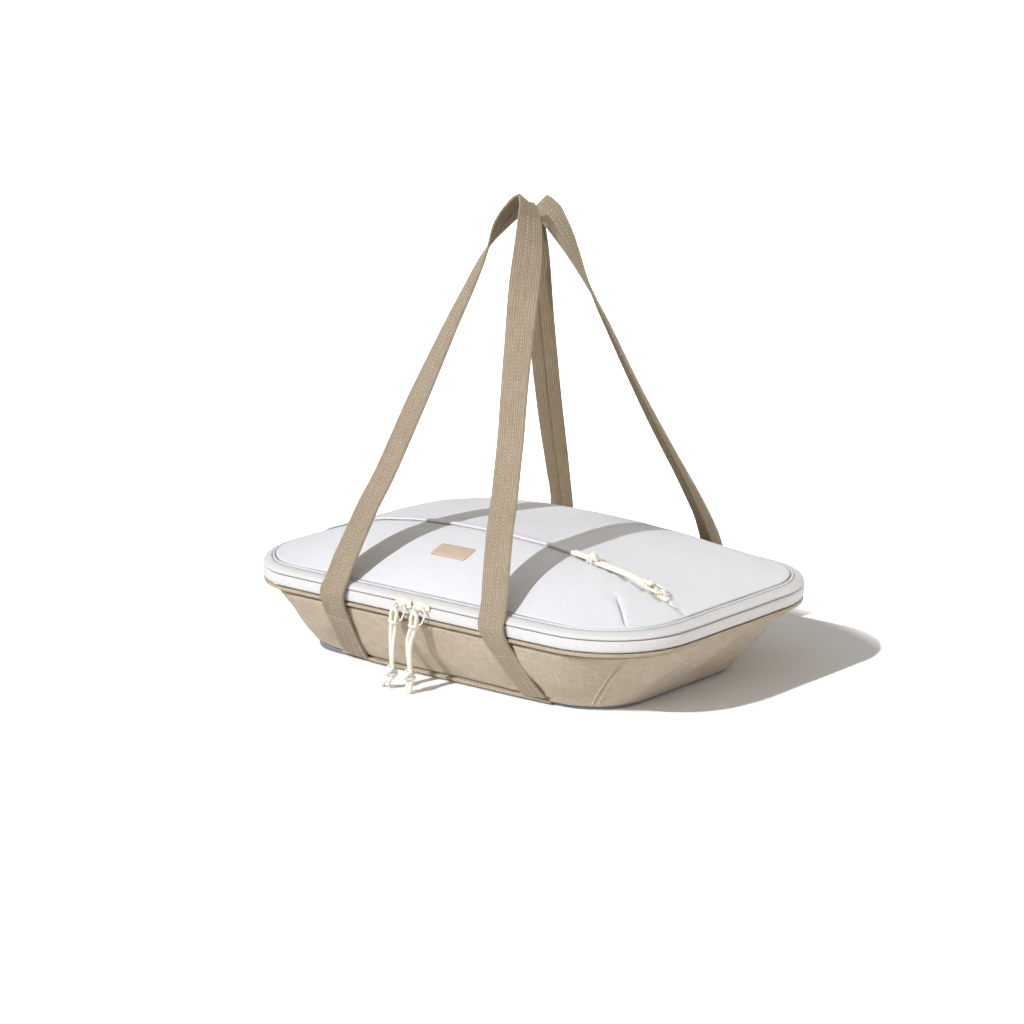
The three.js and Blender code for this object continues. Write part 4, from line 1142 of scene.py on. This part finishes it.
strapSettings = {
    "width": 25, "thickness": 2.2, "rounding": 0.7, "row": 0.26, "hem": 10.6, "crownTilt": 33,
    "inner": (20, 30), "seamAcross": (0.16, 0.22, 0.26, 0.3, 0.36, 0.6, 0.85, 1),
    # sewn part of every leg: height, how far out to the front or rear, place along x
    "foot": [(6.8, 105.6, 94.1), (9, 107.5, 93.6), (16, 113.3, 92.3), (26, 120.9, 90.6), (36, 127.8, 88.9),
             (45, 133.8, 87.3), (53, 139.4, 85.9), (61, 143.9, 84.5), (68, 146.2, 83.3)],
    # free part: height, how far out, then each leg's place along x and its turn on edge, for the front
    # handle's right and left legs and the rear handle's
    "legs": [
        (74, 145.2, 82.4, 1, 82.4, 1, 83.4, 3, 78.6, 0),
        (80, 142.0, 81.6, 2, 81.6, 3, 84.4, 7, 75.6, -3),
        (88, 138.5, 80.2, 2, 80.2, 4, 84.4, 9, 73.0, -5),
        (95, 136.0, 79.0, 2, 79.0, 5, 83.5, 11, 71.4, -5),
        (105, 132.1, 76.6, 2, 76.4, 6, 81.9, 14, 69.6, -4),
        (120, 126.0, 73.2, 2, 72.8, 7, 77.9, 16, 67.2, -1),
        (140, 117.9, 69.2, 2, 67.6, 8, 71.7, 19, 63.6, 2),
        (160, 108.0, 64.9, 2, 61.9, 9, 66.4, 21, 58.7, 4),
        (185, 95.6, 58.6, 2, 56.9, 10, 60.1, 24, 52.2, 6),
        (210, 84.3, 52.9, 3, 51.8, 11, 53.5, 28, 46.4, 8),
        (233, 74.6, 47.3, 4, 46.2, 14, 47.4, 31, 41.2, 9),
        (260, 62.6, 40.7, 7, 39.9, 20, 41.7, 33, 34.8, 11),
        (285, 51.1, 34.6, 13, 34.2, 26, 36.6, 36, 28.2, 13),
        (307, 40.9, 29.4, 26, 28.5, 31, 32.0, 44, 22.2, 18),
        (330, 30.8, 24.6, 46, 22.6, 39, 27.2, 59, 17.0, 32),
        (345, 24.6, 21.6, 59, 18.0, 50, 22.8, 70, 14.4, 47),
        (358, 19.8, 18.8, 69, 12.4, 67, 17.0, 79, 11.6, 62),
    ],
    "crownLean": [(368, 16.4), (375, 14.4), (382, 13.5)],
    # last places of each leg, in the same order, then each handle's crown: height, place along x, turn
    "tops": [[(368, 16.2, 77), (376, 13.6, 84)], [(368, 5.6, 75), (377, -3.6, 83)],
             [(367, 11.6, 86)], [(367, 8.0, 76)]],
    "crowns": [(381.8, 10.5, 90), (373.5, 2, 90)],
    "thread": {"length": 1.6, "gap": 1.7, "thick": 0.9, "lift": 0.16},
    "hemThread": {"length": 2.4, "gap": 1.2, "thick": 0.8, "lift": 0.06},
    "crossThread": {"length": 1.6, "gap": 0.9, "thick": 0.85, "lift": 0.06}, "crossAt": 44, "crossHalf": 10.5,
    "hemTop": 45, "legFrames": 40,
}


def leanAt(height):
    # how far out a leg stands, eased a little between the heights of the table
    s = strapSettings
    table = [row[:2] for row in s["foot"] + s["legs"] + s["crownLean"]]
    for (a, left), (b, right) in zip(table, table[1:]):
        if height <= b:
            return mix(left, right, ease(height, a, b) * 0.35 + 0.65 * min(max((height - a) / (b - a), 0), 1))


def strapSection():
    # two layers with round edges, the inner face with its closed seam
    s = strapSettings
    w, t, r = s["width"] / 2, s["thickness"] / 2, s["rounding"]
    places = [-u for u in s["seamAcross"][::-1]] + [0, *s["seamAcross"]]
    outer = [(u * (w - r), t - 0.28 * bell(abs(u), s["row"], 0.05)) for u in places]
    edge = [(w - r * 0.3, t * 0.72), (w, 0), (w - r * 0.3, -t * 0.72)]
    half = [(u * (w - r), -t) for u in (1, 0.7, 0.4, 0.12)] + [(0.55, -t * 0.9)]
    inner = half + [(0, -t * 0.05)] + [(-u, v) for u, v in half[::-1]]
    return outer + edge + inner + [(-u, v) for u, v in edge[::-1]]


def strapFrames(side):
    # places along the loop with their width directions, from the right foot over the crown to the left foot
    s = strapSettings
    handle = int(side > 0)
    tilt = math.radians(s["crownTilt"])
    legs = []
    for leg, sign in enumerate((1, -1), 2 * handle):
        rows = [(z, x, 0) for z, _, x in s["foot"]]
        rows += [(row[0], *row[2 + 2 * leg:4 + 2 * leg]) for row in s["legs"]]
        z, x, turn = s["crowns"][handle]
        rows += s["tops"][leg] + [(z, sign * x, turn)]
        places = smoothPath([(sign * x, side * leanAt(z), z) for z, x, _ in rows], 4)
        angles = [math.radians(turn.x) for turn in smoothPath([(turn, 0, 0) for _, _, turn in rows], 4)]
        widths = [Vector((sign * math.cos(a), -side * math.cos(tilt) * math.sin(a),
                          -math.sin(tilt) * math.sin(a))) for a in angles]
        legs.append(list(zip(places, widths)))
    both = legs[0] + legs[1][-2::-1]
    frames = []
    for i, (place, width) in enumerate(both):
        along = (both[min(i + 1, len(both) - 1)][0] - both[max(i - 1, 0)][0]).normalized()
        width = (width - along * width.dot(along)).normalized()
        frames.append((place, width, width.cross(along) * -side))
    return frames


def makeHandle(side, row):
    s = strapSettings
    section, half, face = strapSection(), s["width"] / 2, s["thickness"] / 2
    frames = strapFrames(side)
    rings, rows, hems = [], {-1: [], 1: []}, {}
    for place, width, out in frames:
        sag = 0.25 * noise.noise(place / 30)
        rings.append([place + width * u + out * (v + sag * (1 - (u / half) ** 2)) for u, v in section])
        for sign, line in rows.items():
            across = sign * s["row"] * (half - s["rounding"])
            line.append((place + width * across + out * (face - 0.1 + sag), out))
            if place.z < s["hemTop"]:
                at = place + width * (sign * s["hem"]) + out * (face - 0.05)
                hems.setdefault((sign, place.x > 0), []).append((at, out))
    bm = sweep(rings, capped=True, centres=(5,))
    point = bm.verts.layers.int["point"]
    first, last = s["inner"]
    # the inner face takes the darker webbing copy, painted shade
    for patch in bm.faces:
        if all(first <= v[point] <= last for v in patch.verts):
            patch.material_index = 2
    bmesh.ops.recalc_face_normals(bm, faces=bm.faces)
    for hem in hems.values():
        joinInto(bm, stitches(hem, s["hemThread"]), 3)
    for line in rows.values():
        joinInto(bm, stitches(line, s["thread"]), 1)
    count = s["legFrames"]
    for leg in (frames[:count], frames[:-count - 1:-1]):  # a row across where the strap leaves the wall
        place, width, out = min(leg, key=lambda frame: abs(frame[0].z - s["crossAt"]))
        if out.y * side < 0:
            out = -out
        ends = (-s["crossHalf"], s["crossHalf"])
        line = [(place + width * mix(*ends, i / 8) + out * face, out) for i in range(9)]
        joinInto(bm, stitches(line, s["crossThread"]), 3)
    nodes = [row + "_handle_strap", f"strap_end_{row}_left", f"strap_end_{row}_right"]
    handle = finishPiece(bm, row + "Handle", "webbing strapThread webbingInner tanThread", None, nodes,
                         keepNormals=True)
    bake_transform(handle)


makeHandle(-1, "front")
makeHandle(1, "rear")
print("carrier: handles made")


# Sliders and rings

sliderSettings = {
    "length": 16.0, "height": 7.6, "thickness": 2.4, "nose": 0.62, "tail": 0.82,
    "bevel": 0.7, "bevelSteps": 3,
    "archSpan": 7.6, "archReach": 4.6, "archWidth": 3.2, "archThickness": 1.1, "archSteps": 14,
    "archSection": [(-1, -0.6), (-0.8, -1), (0.8, -1), (1, -0.6), (1, 0.6), (0.8, 1), (-0.8, 1), (-1, 0.6)],
    "plateBack": 1.8, "archBack": 0.9, "main": (9.4, -142.3, 73), "pocket": (176, -49.5, 90.646),
    "pocketSize": (12 / 13, 1, 8 / 9.5), "pocketSunk": 0.2,
}
ringSettings = {
    "width": 12.0, "length": 15.0, "wire": 0.8, "lean": 25, "hitchLean": 8, "rightBy": 1.2,
    "axis": (9.9, -146.1, 73), "pocketAxis": (177.104, -49.5, 94.282),
}
hitchSettings = {
    "radius": 1.6, "band": 1.28, "sides": 12,
    "eyeHalf": [(-1.7, -0.9, -4.6), (-2.3, -1.9, -1.2), (-2.9, -2.1, 3.2), (-2.3, -2.0, 7.0)],
    "eyeTop": (0, -2.0, 9.0),
    "back": [(1, 0.6, -4.6), (1, 1.5, -1.6), (0.8, 1.3, 1.8), (0.6, 0.4, 3.4)], "apart": 1.7,
    "around": [(-3.2, 0.2, -2.2), (-2.8, -3.2, -1.9), (0, -4.4, -1.7), (2.8, -3.2, -1.9), (3.2, 0.0, -2.2),
               (2.6, 2.0, -2.5), (0, 2.6, -2.6), (-2.6, 2.0, -2.5), (-3.2, 0.2, -2.2)],
}


def sliderMesh():
    # plate on y = 0 facing -y, nose toward -x, with the arch that holds the ring
    s = sliderSettings
    length = s["length"]
    bm = bmesh.new()
    bmesh.ops.create_cube(bm, size=1)
    bmesh.ops.scale(bm, vec=(length, s["thickness"], s["height"]), verts=bm.verts)
    bmesh.ops.translate(bm, vec=(0, s["thickness"] / 2 - s["plateBack"], 0), verts=bm.verts)
    lengthwise = [e for e in bm.edges if abs(e.verts[0].co.x - e.verts[1].co.x) > 1]
    bmesh.ops.subdivide_edges(bm, edges=lengthwise, cuts=5, use_grid_fill=True)
    for vert in bm.verts:
        t = vert.co.x / length + 0.5
        vert.co.z *= mix(s["nose"], 1, ease(t, 0, 0.55)) * mix(1, s["tail"], ease(t, 0.75, 1))
    bmesh.ops.bevel(bm, geom=bm.edges[:], offset=s["bevel"], offset_type="OFFSET", segments=s["bevelSteps"],
                    profile=0.5, affect="EDGES", material=-1)
    rings = []
    for i in range(s["archSteps"] + 1):
        x, y = math.cos(math.pi * i / s["archSteps"]), -math.sin(math.pi * i / s["archSteps"])
        place = Vector((x * s["archSpan"] / 2, y * s["archReach"] - s["archBack"], 0))
        out = Vector((x, y, 0))
        rings.append([place + Vector((0, 0, s["archWidth"] / 2 * a)) + out * (s["archThickness"] / 2 * b)
                      for a, b in s["archSection"]])
    joinInto(bm, sweep(rings, capped=True))
    return bm


def ringMesh():
    # a wire bent to a long ring that hangs from its top bar at the origin
    r, length = ringSettings["width"] / 2, ringSettings["length"]
    top, foot = -r * 0.55, r * 0.75 - length
    sides = [mix(top, foot, i / 5) for i in range(1, 5)]
    path = arc((0, top), (r, r * 0.55), 0, 180, 12) + [(-r, z) for z in sides]
    path += arc((0, foot), (r, r * 0.75), 180, 360, 12) + [(r, z) for z in sides[::-1]]
    wire = [Vector((x, 0, z)) for x, z in path]
    return sweep(tubeRings(wire, ringSettings["wire"], 10, closed=True), loopPath=True)


def hitchMesh():
    # the cord's loop stands inside the ring, over its lower bar, and a band draws it tight
    s = hitchSettings
    half = s["eyeHalf"]
    bm = bmesh.new()
    eye = half + [s["eyeTop"]] + [(-x, y, z) for x, y, z in half[::-1]]
    backs = [[(side * x, y, z) for x, y, z in s["back"]] for side in (-s["apart"], s["apart"])]
    for path in (eye, *backs):
        joinInto(bm, tube(smoothPath(path, 5), s["radius"], s["sides"]))
    joinInto(bm, tube(smoothPath(s["around"], 5), s["band"], s["sides"]))
    return bm


def makeSlider(name, platePlace, ringPlace, hitchPlace):
    slider, pull = name + "_slider", name + "_pull"
    for bm, place, part, look, body, stands, slotName in (
        (sliderMesh(), platePlace, "SliderBody", "whiteLacquer", slider, [slider], "slider_metal"),
        (ringMesh(), ringPlace, "Ring", "ringLacquer", pull, [pull + "_ring"], "slider_metal"),
        (hitchMesh(), hitchPlace, "Hitch", "braid", pull, (), "cord"),
    ):
        bmesh.ops.transform(bm, matrix=place, verts=bm.verts)
        finishPiece(bm, name + part, look, body, stands)


def makeMainSlider(name, sign):
    s = ringSettings
    x, y, z = sliderSettings["main"]
    plate = Matrix.Translation((sign * x, y, z)) @ Matrix.Diagonal((-sign, 1, 1, 1))
    lean, hitchLean = (Matrix.Rotation(math.radians(s[key]), 4, "Y") for key in ("lean", "hitchLean"))
    x, y, z = s["axis"]
    ring = Matrix.Translation((sign * x + s["rightBy"] * (sign > 0), y, z)) @ lean
    foot = Matrix.Translation(ring @ Vector((0, 0, -s["length"])))
    makeSlider(name, plate, ring, foot @ hitchLean)


def makePocketSlider():
    s = sliderSettings
    out, down = runAxes(pocketRun["rest"])
    # local axes of the plate: nose along the run, outer side up, width across
    turn = Matrix((-down, -out, -out.cross(down))).transposed().to_4x4()
    sunk = Matrix.Translation(Vector(s["pocket"]) - out * s["pocketSunk"])
    plate = sunk @ turn @ Matrix.Diagonal((*s["pocketSize"], 1))
    lie = Matrix((out.cross(down), out, -down)).transposed().to_4x4()
    axis = Vector(ringSettings["pocketAxis"])
    foot = axis + down * ringSettings["length"]
    makeSlider("pocket", plate, Matrix.Translation(axis) @ lie, Matrix.Translation(foot) @ lie)


makeMainSlider("left", -1)
makeMainSlider("right", 1)
makePocketSlider()
print("carrier: sliders and rings made")

# Nodes kept from the solid model
keptLooks = {"base_board": "boardPulp", "left_end_stop": "coilNylon", "right_end_stop": "coilNylon"}
for name, look in keptLooks.items():
    solid = frame["nodes"][name]
    solid.data.materials.clear()
    solid.data.materials.append(looks[look])


# Floor, light and surroundings

studio = {
    "floor": 14.0, "paper": (0.90, 0.90, 0.90, 1), "paperGrain": (0.915, 0.915, 0.91, 1), "thrownBack": 0.72,
    "low": 0.26, "high": 0.47, "warm": (1, 0.945, 0.885, 1), "grainUp": (-0.06, -0.42, 0.905),
    "showThrough": 0.03, "clearCentre": (0.075, -0.01, 0), "clear": (0.245, 0.285),
    "sun": {"from": 82, "height": 38, "energy": 2.6, "spread": 1.0, "color": (0.98, 1.0, 1.05)},
    # lamps: place, aim, size, energy
    "lamps": {
        "fillLamp": ((-0.7, -2.6, 0.75), (0, 0, 0.05), 1.6, 3),
        "sideLamp": ((2.6, 0.1, 0.3), (0, 0, 0.05), 1.2, 13),
        "backLamp": ((0.9, 2.1, 1.0), (0, 0.05, 0.08), 1.6, 13),
    },
}
white = (1, 1, 1, 1)


def makeFloor():
    s = studio
    bm = bmesh.new()
    bmesh.ops.create_grid(bm, x_segments=1, y_segments=1, size=s["floor"])
    mesh = bpy.data.meshes.new("floor")
    bm.to_mesh(mesh)
    bm.free()
    addObject("floor", mesh)
    material, tree, body = newMaterial(
        "floorPaper", Roughness=0.9, Specular_IOR_Level=0.1, Emission_Color=white)
    place = objectPlace(tree)
    pale = blendColour(tree, clouds(tree, place, 3.0, 2.0), s["paper"], s["paperGrain"])
    seen = put(tree, "LightPath").outputs
    back = (s["thrownBack"],) * 3 + (1,)
    feed(tree, body["Base Color"], blendColour(tree, seen["Is Camera Ray"], back, pale))
    shows = calc(tree, "MAXIMUM", seen["Is Camera Ray"], seen["Is Glossy Ray"])
    # the shadow is kept near the carrier, and beyond it the paper is seen as plain white
    away = put(tree, "VectorMath", {0: place, 1: s["clearCentre"]}, operation="DISTANCE").outputs["Value"]
    beyond = smoothStep(tree, away, *s["clear"])
    glow = calc(tree, "MULTIPLY_ADD", beyond, 1 - s["showThrough"], s["showThrough"])
    feed(tree, body["Emission Strength"], calc(tree, "MULTIPLY", shows, glow))
    # the paper's grain stands up to the front, so the strong light shows on it most
    feed(tree, body["Normal"], put(tree, "CombineXYZ", dict(enumerate(s["grainUp"]))).outputs[0])
    mesh.materials.append(material)


def makeSurroundings():
    world = bpy.data.worlds.new("studio")
    bpy.context.scene.world = world
    world.use_nodes = True
    tree = world.node_tree
    seen = put(tree, "LightPath").outputs
    mirrored = calc(tree, "MAXIMUM", seen["Is Glossy Ray"], seen["Is Transmission Ray"])
    shows = calc(tree, "MAXIMUM", seen["Is Camera Ray"], mirrored)
    # overhead it is brighter than at the horizon
    toward = put(tree, "SeparateXYZ", {0: put(tree, "TexCoord").outputs["Generated"]}).outputs
    span = {0: toward[2], 1: 0.0, 2: 0.8, 3: studio["low"], 4: studio["high"]}
    dim = put(tree, "MapRange", span).outputs[0]
    strength = calc(tree, "ADD", calc(tree, "MULTIPLY", dim, calc(tree, "SUBTRACT", 1.0, shows)), shows)
    background = tree.nodes["Background"].inputs
    feed(tree, background["Strength"], strength)
    feed(tree, background["Color"], blendColour(tree, shows, studio["warm"], white))


def addLamp(name, kind, place, aim, **settings):
    lamp = addObject(name, bpy.data.lights.new(name, kind))
    for key, value in settings.items():
        setattr(lamp.data, key, value)
    lamp.location = place
    lamp.rotation_euler = (Vector(aim) - Vector(place)).to_track_quat("-Z", "Y").to_euler()


def makeLights():
    # the strong light stands low in front, a little to the left
    sun = studio["sun"]
    side, height = math.radians(sun["from"]), math.radians(sun["height"])
    level = -math.cos(height)
    toward = Vector((level * math.cos(side), level * math.sin(side), math.sin(height)))
    addLamp("sunLamp", "SUN", toward * 4, (0, 0, 0), energy=sun["energy"], angle=math.radians(sun["spread"]),
            color=sun["color"])
    for name, (place, aim, size, energy) in studio["lamps"].items():
        addLamp(name, "AREA", place, aim, energy=energy, size=size, shape="DISK")


makeFloor()
makeSurroundings()
makeLights()
print("carrier: studio lit")
